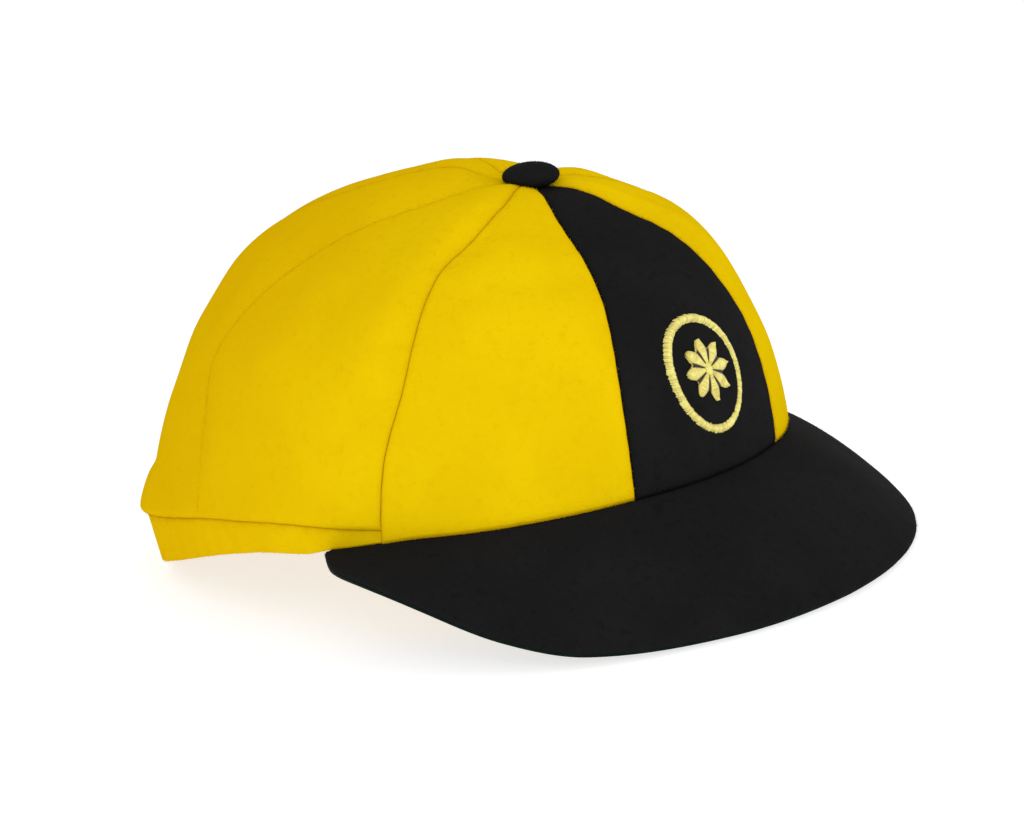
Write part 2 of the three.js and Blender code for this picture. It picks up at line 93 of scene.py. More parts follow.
def along(points: Array, axis: int) -> Array:
    """How far each point lies from the grid's first row, measured along an axis."""
    step = np.linalg.norm(np.diff(points, axis=axis), axis=-1)
    return np.concatenate([np.zeros_like(step.take([0], axis)), np.cumsum(step, axis)], axis)


def linked(name: str, data: bpy.types.ID) -> bpy.types.Object:
    """Makes an object from its data and links it to the scene.

    Args:
        name: The object's name.
        data: Its mesh, camera or lamp.

    Returns:
        The object.
    """
    made = bpy.data.objects.new(name, data)
    bpy.context.scene.collection.objects.link(made)
    return made


def give(mesh: bpy.types.Mesh, name: str, values: Array) -> None:
    """Stores a number or a vector for each point of a mesh.

    Args:
        mesh: The mesh.
        name: The attribute's name.
        values: A row for each point.
    """
    vector = values.ndim > 1
    layer = mesh.attributes.new(name, "FLOAT_VECTOR" if vector else "FLOAT", "POINT")
    layer.data.foreach_set("vector" if vector else "value", values.astype(np.float32).ravel())


@dataclass(frozen=True)
class Curve:
    """A smooth curve through a short table of places and values."""

    knots: tuple[tuple[float, float], ...]

    def __call__(self, place: Array | float) -> Array:
        """Reads the curve.

        Args:
            place: Where to read it. Past its ends the curve keeps its end values.

        Returns:
            The value at each place.
        """
        x, y = np.array(self.knots, float).T
        order = np.arange(len(x))
        low, high = np.maximum(order - 1, 0), np.minimum(order + 1, len(x) - 1)
        slope = (y[high] - y[low]) / (x[high] - x[low])
        i = np.clip(np.searchsorted(x, place, side="left") - 1, 0, len(x) - 2)
        span = x[i + 1] - x[i]
        s = np.clip((place - x[i]) / span, 0, 1)
        bend = s * (1 - s) ** 2 * slope[i] - s * s * (1 - s) * slope[i + 1]
        return y[i] + (y[i + 1] - y[i]) * s * s * (3 - 2 * s) + bend * span


@dataclass(frozen=True)
class Ripple:
    """A smooth random field in space, the same on each run."""

    wavelength: float
    depth: float
    seed: int
    waves: int = 26

    def at(self, points: Array) -> Array:
        """Reads the field.

        Args:
            points: Points in millimetres.

        Returns:
            A height for each point, mostly within plus and minus the depth.
        """
        chance = np.random.default_rng(self.seed)
        ways = unit(chance.normal(size=(self.waves, 3)))
        pitch = 2 * math.pi / (self.wavelength * chance.uniform(0.7, 1.5, self.waves))
        phase = chance.uniform(0, 2 * math.pi, self.waves)
        total = np.sin(points @ (ways * pitch[:, None]).T + phase).sum(-1)
        return self.depth * math.sqrt(1 / self.waves) * total


@dataclass(frozen=True)
class Fold:
    """A soft fold of the crown: where it lies, how far it spreads, and its depth."""

    angle: float
    rise: float
    wide: float
    high: float
    depth: float
    lean: float = 0.0

    def at(self, angle: Array, rise: Array) -> Array:
        """Reads how deep the fold is at each place; a ridge is negative.

        Args:
            angle: Angles round the cap.
            rise: Angles above the opening.

        Returns:
            The depth at each place.
        """
        turn = (angle - self.angle + 540) % 360 - 180
        up = rise - self.rise
        across = (turn - self.lean * up) / self.wide
        return self.depth * np.exp(-(across**2) - (up / self.high) ** 2)


@dataclass(frozen=True)
class CapForm:
    """The cap's shape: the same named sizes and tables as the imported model's."""

    half_width: float = 90
    front_half_length: float = 87.5
    rear_half_length: float = 108.5
    button_forward: float = 28.5
    crown_height: float = 81.5
    front_up: float = 3.5
    opening_lift: float = 29.4
    middle_y: float = 22.5381
    felt: float = 2
    seam_puff: float = 1.1
    puff_foot: float = 20
    puff_growth: float = 1.6
    puff_fade: float = 14
    centre_shift_power: float = 2.13
    top_rise: float = 88.2
    peak_end: float = 80.5
    peak_end_sag: float = 2.4
    hem_turn: float = 50
    front: Curve = Curve((
        (0, 1.0), (5, 1.0), (10, 1.0), (24, 0.985), (38, 0.948), (52, 0.918), (66, 0.91),
        (80, 0.97), (85, 0.985), (90, 1.0),
    ))
    side: Curve = Curve((
        (0, 1.0), (5, 0.993), (10, 0.99), (24, 1.005), (38, 1.03), (52, 1.035), (66, 1.02),
        (80, 1.03), (85, 1.02), (90, 1.0),
    ))
    rear: Curve = Curve((
        (0, 1.045), (5, 1.004), (10, 0.956), (24, 0.975), (38, 1.074), (52, 1.156), (66, 1.148),
        (80, 1.102), (85, 1.035), (90, 1.0),
    ))
    hem_height: Curve = Curve((
        (69, 2.5), (90, 4.9), (100, 4.8), (110, 3.9), (130, -0.4), (150, -4.2), (180, -5.4),
    ))
    hem_radius: Curve = Curve((
        (69, 2.4), (90, 2.5), (100, 2.6), (110, 2.7), (130, 3.1), (150, 3.4), (180, 3.5),
    ))
    seams: tuple[Curve, ...] = (
        Curve(((0, 23), (20, 22.8), (40, 22), (54, 23.2), (66, 25.8), (76, 29), (88, 26))),
        Curve(((0, 69.3), (15, 68.2), (30, 66.4), (54, 69), (63, 68.2), (70, 65), (76, 61), (88, 58))),
        Curve(((0, 109.5), (20, 112), (36, 120.5), (54, 118.5), (66, 119.5), (74, 111), (88, 100))),
        Curve(((0, 157.5), (20, 160), (36, 164), (66, 165), (88, 158))),
    )
    left_first_seam: Curve = Curve((
        (0, 19.5), (12, 20.2), (21, 22.2), (32, 24.4), (47, 25.5), (61, 27), (72, 24.8), (88, 22.5),
    ))
    folds: tuple[Fold, ...] = (
        Fold(66, 62, 9, 7, 2.2), Fold(36, 58, 5, 14, 1.4), Fold(44, 50, 16, 6, 1.2),
        Fold(-40, 56, 4, 18, -0.9), Fold(-46, 27, 20, 13, 1.4), Fold(76, 40, 5, 26, -1.2),
        Fold(92, 34, 8, 22, 1.3), Fold(138, 40, 14, 14, 1.6), Fold(-100, 44, 12, 18, 1.5),
        Fold(-140, 58, 12, 10, 1.4), Fold(180, 24, 16, 10, 1.5), Fold(180, 72, 20, 8, 1.2),
    )

    def half_length(self, angle: Array) -> Array:
        """The opening's half length in front of its middle, or behind it."""
        forward = np.cos(np.radians(angle)) > 0
        return np.where(forward, self.front_half_length, self.rear_half_length)

    def from_front(self, angle: Array) -> Array:
        """The angle from the front, 0 to 180, of any angle round the cap."""
        return np.abs((angle + 540) % 360 - 180)

    def oval(self, angle: Array, outwards: Array, height: Array) -> Array:
        """Points of the opening's oval.

        Args:
            angle: Angles round the cap.
            outwards: How far outside the oval each point is.
            height: How far above the opening each point is.

        Returns:
            The points, before the cap is laid down.
        """
        s, c = level(angle)
        x = -(self.half_width + outwards) * s
        y = self.button_forward - (self.half_length(angle) + outwards) * c
        return np.stack(np.broadcast_arrays(x, y, height), -1)

    def outwards(self, angle: Array) -> Array:
        """The level direction that leads straight out of the oval."""
        s, c = level(angle)
        return unit(np.stack([-s / self.half_width, -c / self.half_length(angle), 0 * s], -1))

    def centre_at(self, rise: Array) -> Array:
        """How far behind the button the middle of the crown's section is."""
        up = np.maximum(np.sin(np.radians(rise)), 0)
        return self.button_forward * (1 - up**self.centre_shift_power)

    def dome(self, angle: Array, rise: Array) -> Array:
        """Points of the smooth dome on which the panels lie.

        Args:
            angle: Angles round the cap.
            rise: Angles above the opening.

        Returns:
            The points, before the cap is laid down.
        """
        angle, rise = np.broadcast_arrays(angle, rise)
        s, c = level(angle)
        up = np.sin(np.radians(rise))
        lengthwise = np.where(c > 0, self.front(rise), self.rear(rise))
        section = c * c * lengthwise + s * s * self.side(rise)
        reach = section * np.cos(np.radians(rise))
        y = self.centre_at(rise) - self.half_length(angle) * c * reach
        return np.stack([-self.half_width * s * reach, y, self.crown_height * section * up], -1)

    def normal(self, angle: Array, rise: Array) -> Array:
        """The dome's outward normals.

        Args:
            angle: Angles round the cap.
            rise: Angles above the opening.

        Returns:
            A unit vector for each place.
        """
        step = 0.4
        high = np.minimum(rise + step, 89)
        around = self.dome(angle + step, rise) - self.dome(angle - step, rise)
        upwards = self.dome(angle, high) - self.dome(angle, rise - step)
        made = unit(np.cross(upwards, around))
        facing = (made * (self.outwards(angle) + 0.5 * UP)).sum(-1, keepdims=True)
        return np.where(facing < 0, -made, made)

    def seam_angle(self, number: int, rise: Array) -> Array:
        """The angle of a seam at each rise; seams are negative on the wearer's left."""
        curve = self.left_first_seam if number == -1 else self.seams[abs(number) - 1]
        return math.copysign(1, number) * curve(rise)

    def relief(self, across: Array, angle: Array, rise: Array) -> Array:
        """How far a panel stands off the dome between its seams.

        Args:
            across: Shares of the way across the panel.
            angle: Angles round the cap.
            rise: Angles above the opening.

        Returns:
            The distance at each place.
        """
        ease = np.sin(np.radians(np.clip(rise * self.puff_growth + self.puff_foot, 0, 90)))
        fade = ease * smoothstep(self.top_rise - rise, 0, self.puff_fade)
        puff = self.seam_puff * (1 - (2 * across - 1) ** 2)
        return (puff - sum(fold.at(angle, rise) for fold in self.folds)) * fade

    def hem_rise(self, angle: Array) -> Array:
        """The rise at which the crown turns under into its hem.

        Args:
            angle: Angles round the cap.

        Returns:
            The rise at each of them.
        """
        away = self.from_front(angle)
        foot = self.hem_height(away) + self.hem_radius(away) * math.sin(math.radians(self.hem_turn))
        return np.degrees(np.arcsin(foot / self.crown_height))

    def rolled(self, foot: Array, angle: Array, radius: Array, turn: Array) -> Array:
        """Points of the roll at the crown's foot.

        Args:
            foot: Points of the crown's foot.
            angle: The angle of each, round the cap.
            radius: The roll's radius at each.
            turn: How far each is turned under, in radians.

        Returns:
            The points.
        """
        inwards, down = radius * (1 - np.cos(turn)), radius * np.sin(turn)
        return foot - self.outwards(angle) * inwards[..., None] - UP * down[..., None]

    def opening_height(self, angle: Array) -> Array:
        """How far the opening's edge hangs below its plane, at the peak's two ends."""
        return -self.peak_end_sag * smoothstep(self.from_front(angle), 60, self.peak_end)

    def settle(self, points: Array) -> Array:
        """Lays the cap down.

        Args:
            points: Points in the cap's own frame.

        Returns:
            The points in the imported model's frame, in millimetres.
        """
        tip = math.radians(-self.front_up)
        x, y, z = np.moveaxis(points, -1, 0)
        back = y * math.cos(tip) - z * math.sin(tip) - self.middle_y
        height = y * math.sin(tip) + z * math.cos(tip) + self.opening_lift
        return np.stack([x, back, np.maximum(height, 0)], -1)

    def tone(self, points: Array) -> Array:
        """How much painted shade the yellow takes at each settled point: more so towards the rear."""
        return smoothstep(points[..., 1], -40, 60)

    def height_in_cap(self, points: Array, height: Array) -> Array:
        """The height above the opening's plane that lies this high above the surface."""
        tip = math.radians(self.front_up)
        return (height - self.opening_lift + points[..., 1] * math.sin(tip)) / math.cos(tip)


@dataclass
class Solid:
    """A closed mesh in the making."""

    points: Array
    faces: list[tuple[int, ...]]
    marks: dict[str, Array] = field(default_factory=dict)

    @classmethod
    def wall(cls, form: CapForm, outer: Array, inner: Array, seam: Array, near: Array,
             fringe: Array | float = 0.0) -> "Solid":
        """Closes a wall of cloth, and marks its painted shade at creases and seams and where it is
        fuzzy.

        Args:
            form: The cap's form, which lays the wall down.
            outer: Rows of points of its outer side.
            inner: Rows of points of its inner side.
            seam: How much painted shade it takes at each point, in its creases, seam valleys and rims,
                from 0 to 1.
            near: How far each point is from the nearest edge.
            fringe: How many fibres more there are at each point.

        Returns:
            The solid.
        """
        solid = cls.between(form.settle(outer), form.settle(inner))
        fuzz = (FUZZ_LEAST + (1 - FUZZ_LEAST) * np.exp(-near / FUZZ_REACH) + fringe).ravel()
        solid.marks["seam"] = np.tile(seam.ravel(), 2)
        solid.marks["fuzz"] = np.concatenate([fuzz, 0 * fuzz])
        return solid

    @classmethod
    def between(cls, outer: Array, inner: Array) -> "Solid":
        """Closes the space between two sheets of points.

        Args:
            outer: Rows of points, of shape (rows, columns, 3).
            inner: As many rows of points for the other side.

        Returns:
            The solid, with the outer sheet's points first.
        """
        rows, columns = outer.shape[:2]
        count = rows * columns
        grid = np.arange(count).reshape(rows, columns)
        a, b, c, d = grid[:-1, :-1], grid[:-1, 1:], grid[1:, 1:], grid[1:, :-1]
        over = np.stack([a, b, c, d], -1).reshape(-1, 4)
        under = np.stack([a, d, c, b], -1).reshape(-1, 4) + count
        rim = np.concatenate([grid[0, :-1], grid[:-1, -1], grid[-1, :0:-1], grid[:0:-1, 0]])
        after = np.roll(rim, -1)
        wall = np.stack([after, rim, rim + count, after + count], -1)
        faces = np.concatenate([over, under, wall]).tolist()
        return cls(np.concatenate([outer.reshape(-1, 3), inner.reshape(-1, 3)]), faces)

    @classmethod
    def of_rings(cls, first: Array, rings: Array, last: Array) -> "Solid":
        """Closes a stack of rings with a pole at each end.

        Args:
            first: The first pole.
            rings: Rings of points, of shape (rings, sides, 3).
            last: The last pole.

        Returns:
            The solid.
        """
        count, sides = rings.shape[:2]
        grid = 1 + np.arange(count * sides).reshape(count, sides)
        ahead = np.roll(grid, -1, axis=1)
        walls = np.stack([grid[:-1], ahead[:-1], ahead[1:], grid[1:]], -1).reshape(-1, 4).tolist()
        low = [(0, b, a) for a, b in zip(grid[0].tolist(), ahead[0].tolist())]
        end = 1 + count * sides
        high = [(a, b, end) for a, b in zip(grid[-1].tolist(), ahead[-1].tolist())]
        return cls(np.concatenate([first[None], rings.reshape(-1, 3), last[None]]), walls + low + high)

    @classmethod
    def of_loop(cls, sections: Array) -> "Solid":
        """Closes cross-sections that follow a loop.

        Args:
            sections: For each place round the loop, its section's corners.

        Returns:
            The solid.
        """
        places, sides = sections.shape[:2]
        grid = np.arange(places * sides).reshape(places, sides)
        along, aside = np.roll(grid, -1, 0), np.roll(grid, -1, 1)
        faces = np.stack([grid, along, np.roll(along, -1, 1), aside], -1).reshape(-1, 4).tolist()
        return cls(sections.reshape(-1, 3), faces)

    def volume(self) -> float:
        """Works out six times the signed volume.

        Returns:
            That number, in cubic millimetres. It is negative when the solid is inside out.
        """
        fans = np.array([(f[0], f[i], f[i + 1]) for f in self.faces for i in range(1, len(f) - 1)])
        a, b, c = (self.points[fans[:, i]] for i in range(3))
        return float((a * np.cross(b, c)).sum())

    def made(self, name: str) -> bpy.types.Object:
        """Makes the object, with its faces turned outwards.

        Args:
            name: The piece's name.

        Returns:
            The object, linked to the scene.
        """
        faces = self.faces if self.volume() > 0 else [face[::-1] for face in self.faces]
        mesh = bpy.data.meshes.new(name)
        mesh.from_pydata((self.points * METRES).tolist(), [], faces)
        for mark, values in self.marks.items():
            give(mesh, mark, values)
        mesh.shade_smooth()
        return linked(name, mesh)


def operator(operation: str, swapped: bool = False) -> Callable[["Wire", Any], "Wire"]:
    """Makes a method that joins two values by a Math node.

    Args:
        operation: The node's operation.
        swapped: Whether the other value comes first.

    Returns:
        The method.
    """
    def joined(self: "Wire", other: "Wire | float") -> "Wire":
        """Adds the node."""
        first, second = (other, self) if swapped else (self, other)
        return self.board.node("ShaderNodeMath", {"operation": operation}, {0: first, 1: second})

    return joined


class Wire:
    """A node's output that can be used in an expression."""

    __add__, __radd__ = operator("ADD"), operator("ADD", True)
    __sub__, __rsub__ = operator("SUBTRACT"), operator("SUBTRACT", True)
    __mul__, __rmul__ = operator("MULTIPLY"), operator("MULTIPLY", True)
    __pow__ = operator("POWER")

    def __init__(self, board: "Board", socket: bpy.types.NodeSocket) -> None:
        """Keeps the socket and the board that its node is on."""
        self.board = board
        self.socket = socket


class Board:
    """A node tree that is built in code."""

    def __init__(self, tree: bpy.types.NodeTree) -> None:
        """Keeps the tree, with no nodes on it."""
        self.tree = tree
        self.tree.nodes.clear()

    def node(
        self,
        kind: str,
        settings: Mapping[str, Any] | None = None,
        inputs: Mapping[int | str, Any] | None = None,
        output: int | str = 0,
    ) -> Wire:
        """Adds a node.

        Args:
            kind: The node's type.
            settings: Its properties, set first; stops are a ramp's places and values.
            inputs: Values or wires, by the socket's number or identifier.
            output: The output to give back, by number or identifier.

        Returns:
            The chosen output.
        """
        made = self.tree.nodes.new(kind)
        for name, value in (settings or {}).items():
            if name == "stops":
                self._set_stops(made.color_ramp, value)
            else:
                setattr(made, name, value)
        for key, value in (inputs or {}).items():
            socket = self._socket(made.inputs, key)
            if isinstance(value, Wire):
                self.tree.links.new(value.socket, socket)
            else:
                socket.default_value = value
        return Wire(self, self._socket(made.outputs, output))

    @staticmethod
    def _socket(sockets: Any, key: int | str) -> bpy.types.NodeSocket:
        """Finds a socket by its number or identifier."""
        return sockets[key] if isinstance(key, int) else next(s for s in sockets if s.identifier == key)

    @staticmethod
    def _set_stops(ramp: bpy.types.ColorRamp, stops: Sequence[tuple[float, float]]) -> None:
        """Sets a ramp's stops, as pairs of a place and a grey value.

        Args:
            ramp: The ramp.
            stops: Its stops, in order.
        """
        while len(ramp.elements) < len(stops):
            ramp.elements.new(0.5)
        for element, (place, value) in zip(ramp.elements, stops):
            element.position = place
            element.color = (value, value, value, 1)


class Paint(Board):
    """A material's node tree."""

    def __init__(self, name: str) -> None:
        """Starts a material with an empty tree."""
        self.material = bpy.data.materials.new(name)
        self.material.use_nodes = True
        super().__init__(self.material.node_tree)
        self.place = self.node("ShaderNodeTexCoord", output="Object")

    def noise(self, size: float, detail: float = 2, roughness: float = 0.5) -> Wire:
        """Noise on the object's own coordinates.

        Args:
            size: The size of its features, in millimetres.
            detail: How many finer layers it has.
            roughness: How strong those layers are.

        Returns:
            Values from 0 to 1.
        """
        inputs = {
            "Vector": self.place, "Scale": 1000 / size, "Detail": detail, "Roughness": roughness,
        }
        return self.node("ShaderNodeTexNoise", {}, inputs, "Fac")

    def mark(self, name: str) -> Wire:
        """Reads an attribute of the mesh."""
        return self.node("ShaderNodeAttribute", {"attribute_name": name}, {}, "Fac")

    def eased(self, value: Wire, low: float, high: float) -> Wire:
        """Eases a value from 0 at low to 1 at high."""
        inputs = {"Value": value, "From Min": low, "From Max": high}
        settings = {"interpolation_type": "SMOOTHSTEP"}
        return self.node("ShaderNodeMapRange", settings, inputs, "Result")

    def mix(self, factor: Wire, first: Wire | Rgb, second: Wire | Rgb) -> Wire:
        """Mixes two colours.

        Args:
            factor: 0 gives the first colour and 1 the second.
            first: A colour.
            second: Another colour.

        Returns:
            The mixed colour.
        """
        def ready(colour: Wire | Rgb) -> Any:
            """A colour as a socket takes it."""
            return colour if isinstance(colour, Wire) else (*colour, 1)

        inputs = {"Factor_Float": factor, "A_Color": ready(first), "B_Color": ready(second)}
        settings = {"data_type": "RGBA", "clamp_factor": True}
        return self.node("ShaderNodeMix", settings, inputs, "Result_Color")

    def bump(self, height: Wire, depth: float) -> Wire:
        """A bumped normal; depth is in millimetres."""
        inputs = {"Strength": 1.0, "Distance": depth * METRES, "Height": height}
        return self.node("ShaderNodeBump", {}, inputs, "Normal")

    def finish(self, colour: Wire, roughness: Wire, normal: Wire,
               fixed: Mapping[str, Any]) -> bpy.types.Material:
        """Ends the material with its shader.

        Args:
            colour: The base colour.
            roughness: The roughness.
            normal: The normal.
            fixed: What is the same all over, by the shader's socket.

        Returns:
            The material.
        """
        inputs = {"Base Color": colour, "Roughness": roughness, "Normal": normal, **fixed}
        shader = self.node("ShaderNodeBsdfPrincipled", {}, inputs, "BSDF")
        end = self.tree.nodes.new("ShaderNodeOutputMaterial")
        self.tree.links.new(shader.socket, end.inputs["Surface"])
        return self.material


@dataclass(frozen=True)
class Felt:
    """Wool felt: closely matted, with a faint unevenness of dye, a fine grain and a few specks, and
    painted shade that darkens it towards the rear and in its seams and creases.
    """

    name: str
    colour: Rgb
    pale: Rgb
    deep: Rgb
    crease_shade: Rgb
    speck: Rgb
    shine: Rgb
    sheen: float = 0.03
    specular: float = 0.0
    grain: float = 0.14
    mottle: float = 0.35
    flecks: float = 0.25
    blotch_size: float = 26
    tuft_size: float = 2.6
    fibre_size: float = 0.4
    speck_size: float = 1.5
    rear_shade_share: float = 0.55
    crease_shade_share: float = 0.8
    roughness: float = 0.96

    def material(self) -> bpy.types.Material:
        """Builds the material."""
        paint = Paint(self.name)
        blotches = paint.noise(self.blotch_size, 3, 0.5)
        tufts = paint.noise(self.tuft_size, 4, 0.6)
        fibres = paint.noise(self.fibre_size, 3, 0.7)
        colour = paint.mix(paint.eased(blotches, 0.36, 0.64), self.colour, self.pale)
        matted = paint.eased(tufts * 0.7 + fibres * 0.3, 0.3, 0.5)
        colour = paint.mix(1 - self.mottle + matted * self.mottle, self.deep, colour)
        # painted shade: the felt leans to its deep colour towards the rear
        colour = paint.mix(paint.mark("tone") * self.rear_shade_share, colour, self.deep)
        # painted shade in the seam valleys and creases
        colour = paint.mix(paint.mark("seam") * self.crease_shade_share, colour, self.crease_shade)
        specks = paint.eased(paint.noise(self.speck_size, 2, 0.5), 0.72, 0.8)
        colour = paint.mix(specks * self.flecks, colour, self.speck)
        roughness = self.roughness - fibres * 0.1
        height = tufts * 0.5 + fibres * 0.5
        fixed = {
            "Sheen Weight": self.sheen, "Sheen Roughness": 0.5, "Sheen Tint": (*self.shine, 1),
            "Specular IOR Level": self.specular, "Specular Tint": (*self.shine, 1),
        }
        return paint.finish(colour, roughness, paint.bump(height, self.grain), fixed)


@dataclass(frozen=True)
class Twill:
    """Close cotton twill, with diagonal ribs, and painted shade that darkens its rim."""

    name: str
    colour: Rgb
    rib: Rgb
    edge: Rgb
    pitch: float = 0.7
    waves_per_unit: float = 6
    slub_size: float = 1.1
    rim_shade_share: float = 0.8
    grain: float = 0.12

    def material(self) -> bpy.types.Material:
        """Builds the material."""
        paint = Paint(self.name)
        settings = {"wave_type": "BANDS", "bands_direction": "DIAGONAL"}
        scale = 1000 / self.pitch / self.waves_per_unit
        inputs = {"Vector": paint.place, "Scale": scale, "Distortion": 0.4}
        ribs = paint.node("ShaderNodeTexWave", settings, inputs, "Fac")
        slubs = paint.noise(self.slub_size, 3, 0.6)
        colour = paint.mix(ribs * 0.6 + slubs * 0.4, self.colour, self.rib)
        # painted shade: darker at the rim, where the lining lies tucked under the peak
        colour = paint.mix(paint.mark("seam") * self.rim_shade_share, colour, self.edge)
        fixed = {"Sheen Weight": 0.04, "Sheen Roughness": 0.5, "Specular IOR Level": 0.12}
        height = ribs * 0.7 + slubs * 0.3
        return paint.finish(colour, 0.92 - ribs * 0.1, paint.bump(height, self.grain), fixed)


@dataclass(frozen=True)
class Thread:
    """Shiny embroidery thread, whose strands differ a little; painted shade darkens the form between
    them, most in the rosette's grooves.
    """

    name: str
    colour: Rgb
    deep: Rgb
    groove_shade: Rgb
    twist_size: float = 0.25
    grain: float = 0.05

    def material(self) -> bpy.types.Material:
        """Builds the material."""
        paint = Paint(self.name)
        twist = paint.noise(self.twist_size, 2, 0.6)
        strand = paint.mark("strand")
        # the deep colour serves both the strands' own variation and painted shade on the form between
        # them
        colour = paint.mix(paint.eased(strand * 0.45 + twist * 0.5, 0, 0.75), self.deep, self.colour)
        # painted shade: near-black in the rosette's grooves
        colour = paint.mix(paint.eased(0 - strand, 0.2, 0.8), colour, self.groove_shade)
        fixed = {"Sheen Weight": 0.15, "Sheen Roughness": 0.35, "Specular IOR Level": 0.45}
        return paint.finish(colour, 0.5 - twist * 0.14, paint.bump(twist, self.grain), fixed)


@dataclass(frozen=True)
class Plain:
    """The pale floor, with a faint grain."""

    name: str
    colour: Rgb
    glow: float
    grain_size: float = 6
    shade: float = 0.985

    def material(self) -> bpy.types.Material:
        """Builds the material."""
        paint = Paint(self.name)
        grain = paint.noise(self.grain_size, 2)
        colour = paint.mix(grain, tuple(self.shade * part for part in self.colour), self.colour)
        fixed = {
            "Specular IOR Level": 0.1, "Emission Color": (1, 1, 1, 1), "Emission Strength": self.glow,
        }
        return paint.finish(colour, 0.8 + grain * 0.05, paint.bump(grain, 0.01), fixed)


class Growth(Board):
    """A Geometry Nodes tree that makes pieces on a guide mesh."""

    def __init__(self, name: str) -> None:
        """Starts a tree that takes and gives geometry."""
        super().__init__(bpy.data.node_groups.new(name, "GeometryNodeTree"))
        for name, way in (("Guide", "INPUT"), ("Made", "OUTPUT")):
            self.tree.interface.new_socket(name, in_out=way, socket_type="NodeSocketGeometry")
        self.entry = self.tree.nodes.new("NodeGroupInput")
        self.exit = self.tree.nodes.new("NodeGroupOutput")
        self.guide = Wire(self, self.entry.outputs["Guide"])

    def take(self, name: str, kind: str = "NodeSocketFloat") -> Wire:
        """Adds a named input."""
        self.tree.interface.new_socket(name, in_out="INPUT", socket_type=kind)
        return Wire(self, self.entry.outputs[name])

    def field(self, name: str, kind: str = "FLOAT") -> Wire:
        """Reads an attribute of the guide."""
        settings = {"data_type": kind}
        return self.node("GeometryNodeInputNamedAttribute", settings, {"Name": name}, "Attribute")

    def chance(self, low: float, high: float, seed: Wire) -> Wire:
        """A random number for each point."""
        inputs = {"Min_001": low, "Max_001": high, "Seed": seed}
        return self.node("FunctionNodeRandomValue", {"data_type": "FLOAT"}, inputs, "Value_001")

    def vector(self, x: Wire | float, y: Wire | float, z: Wire | float) -> Wire:
        """Joins three numbers."""
        return self.node("ShaderNodeCombineXYZ", {}, {"X": x, "Y": y, "Z": z}, "Vector")

    def coordinates(self) -> list[Wire]:
        """The three coordinates of each point."""
        split = self.node("ShaderNodeSeparateXYZ", {}, {0: self.node("GeometryNodeInputPosition")})
        return [Wire(self, output) for output in split.socket.node.outputs]

    def tube(self, line: Wire, profile: Wire) -> Wire:
        """Gives a line its thickness and closes its ends."""
        inputs = {"Curve": line, "Profile Curve": profile, "Fill Caps": True}
        return self.node("GeometryNodeCurveToMesh", {}, inputs)

    def arc(self, resolution: int, *points: tuple[float, float, float]) -> Wire:
        """A bent line from its start, middle and end."""
        inputs = dict(zip(("Start", "Middle", "End"), points))
        return self.node("GeometryNodeCurveQuadraticBezier", {}, {"Resolution": resolution, **inputs})

    def section(self, sides: int, radius: Wire | float) -> Wire:
        """A ring of a few sides."""
        inputs = {"Resolution": sides, "Radius": radius}
        return self.node("GeometryNodeCurvePrimitiveCircle", {}, inputs)

    def planted(self, points: Wire, piece: Wire, rotation: Wire, scale: Wire) -> Wire:
        """Puts a turned and scaled copy of a piece on each point.

        Args:
            points: The points.
            piece: The piece.
            rotation: The turn at each point.
            scale: The scale at each point.

        Returns:
            The instances.
        """
        inputs = {"Points": points, "Instance": piece, "Rotation": rotation, "Scale": scale}
        return self.node("GeometryNodeInstanceOnPoints", {}, inputs)

    def end(self, instances: Wire, material: Wire) -> None:
        """Makes the instances real, gives them their material and ends the tree.

        Args:
            instances: What the tree made.
            material: The material of all of it.
        """
        real = self.node("GeometryNodeRealizeInstances", {}, {"Geometry": instances})
        done = self.node("GeometryNodeSetMaterial", {}, {"Geometry": real, "Material": material})
        self.tree.links.new(done.socket, self.exit.inputs["Made"])

    def grow(self, guide: bpy.types.Object, name: str, values: Mapping[str, Any]) -> bpy.types.Object:
        """Runs the tree on a guide and keeps the result as a plain mesh.

        Args:
            guide: The object that the pieces grow on.
            name: The new piece's name.
            values: The tree's inputs, by name.

        Returns:
            The new piece.
        """
        modifier = guide.modifiers.new("growth", "NODES")
        modifier.node_group = self.tree
        for item in self.tree.interface.items_tree:
            if item.in_out == "INPUT" and item.name in values:
                modifier[item.identifier] = values[item.name]
        seen = guide.evaluated_get(bpy.context.evaluated_depsgraph_get())
        mesh = bpy.data.meshes.new_from_object(seen)
        guide.modifiers.remove(modifier)
        mesh.name = name
        return linked(name, mesh)


class Fuzz(Growth):
    """Loose fibres that stand off felt."""

    def __init__(self) -> None:
        """Builds the tree."""
        super().__init__("felt_fibres")
        density, length = self.take("Density"), self.take("Length")
        thickness, lean = self.take("Thickness"), self.take("Lean")
        seed = self.take("Seed", "NodeSocketInt")
        material = self.take("Material", "NodeSocketMaterial")
        many = self.field("fuzz") * density
        inputs = {"Mesh": self.guide, "Density": many, "Seed": seed}
        spread = self.node("GeometryNodeDistributePointsOnFaces", {}, inputs, "Points")
        turned = Wire(self, spread.socket.node.outputs["Rotation"])
        line = self.arc(3, (0, 0, -0.15), (0.08, 0, 0.55), (0.5, 0.12, 0.8))
        fibre = self.tube(line, self.section(3, thickness))
        turn = self.vector(lean * self.chance(-1, 1, seed + 1), lean * self.chance(-1, 1, seed + 2),
                           self.chance(0, 6.28, seed + 3))
        inputs = {"Rotation": turned, "Rotate By": turn}
        facing = self.node("FunctionNodeRotateRotation", {"rotation_space": "LOCAL"}, inputs)
        size = length * self.chance(0.35, 1.0, seed + 4)
        self.end(self.planted(spread, fibre, facing, self.vector(size, size, size)), material)


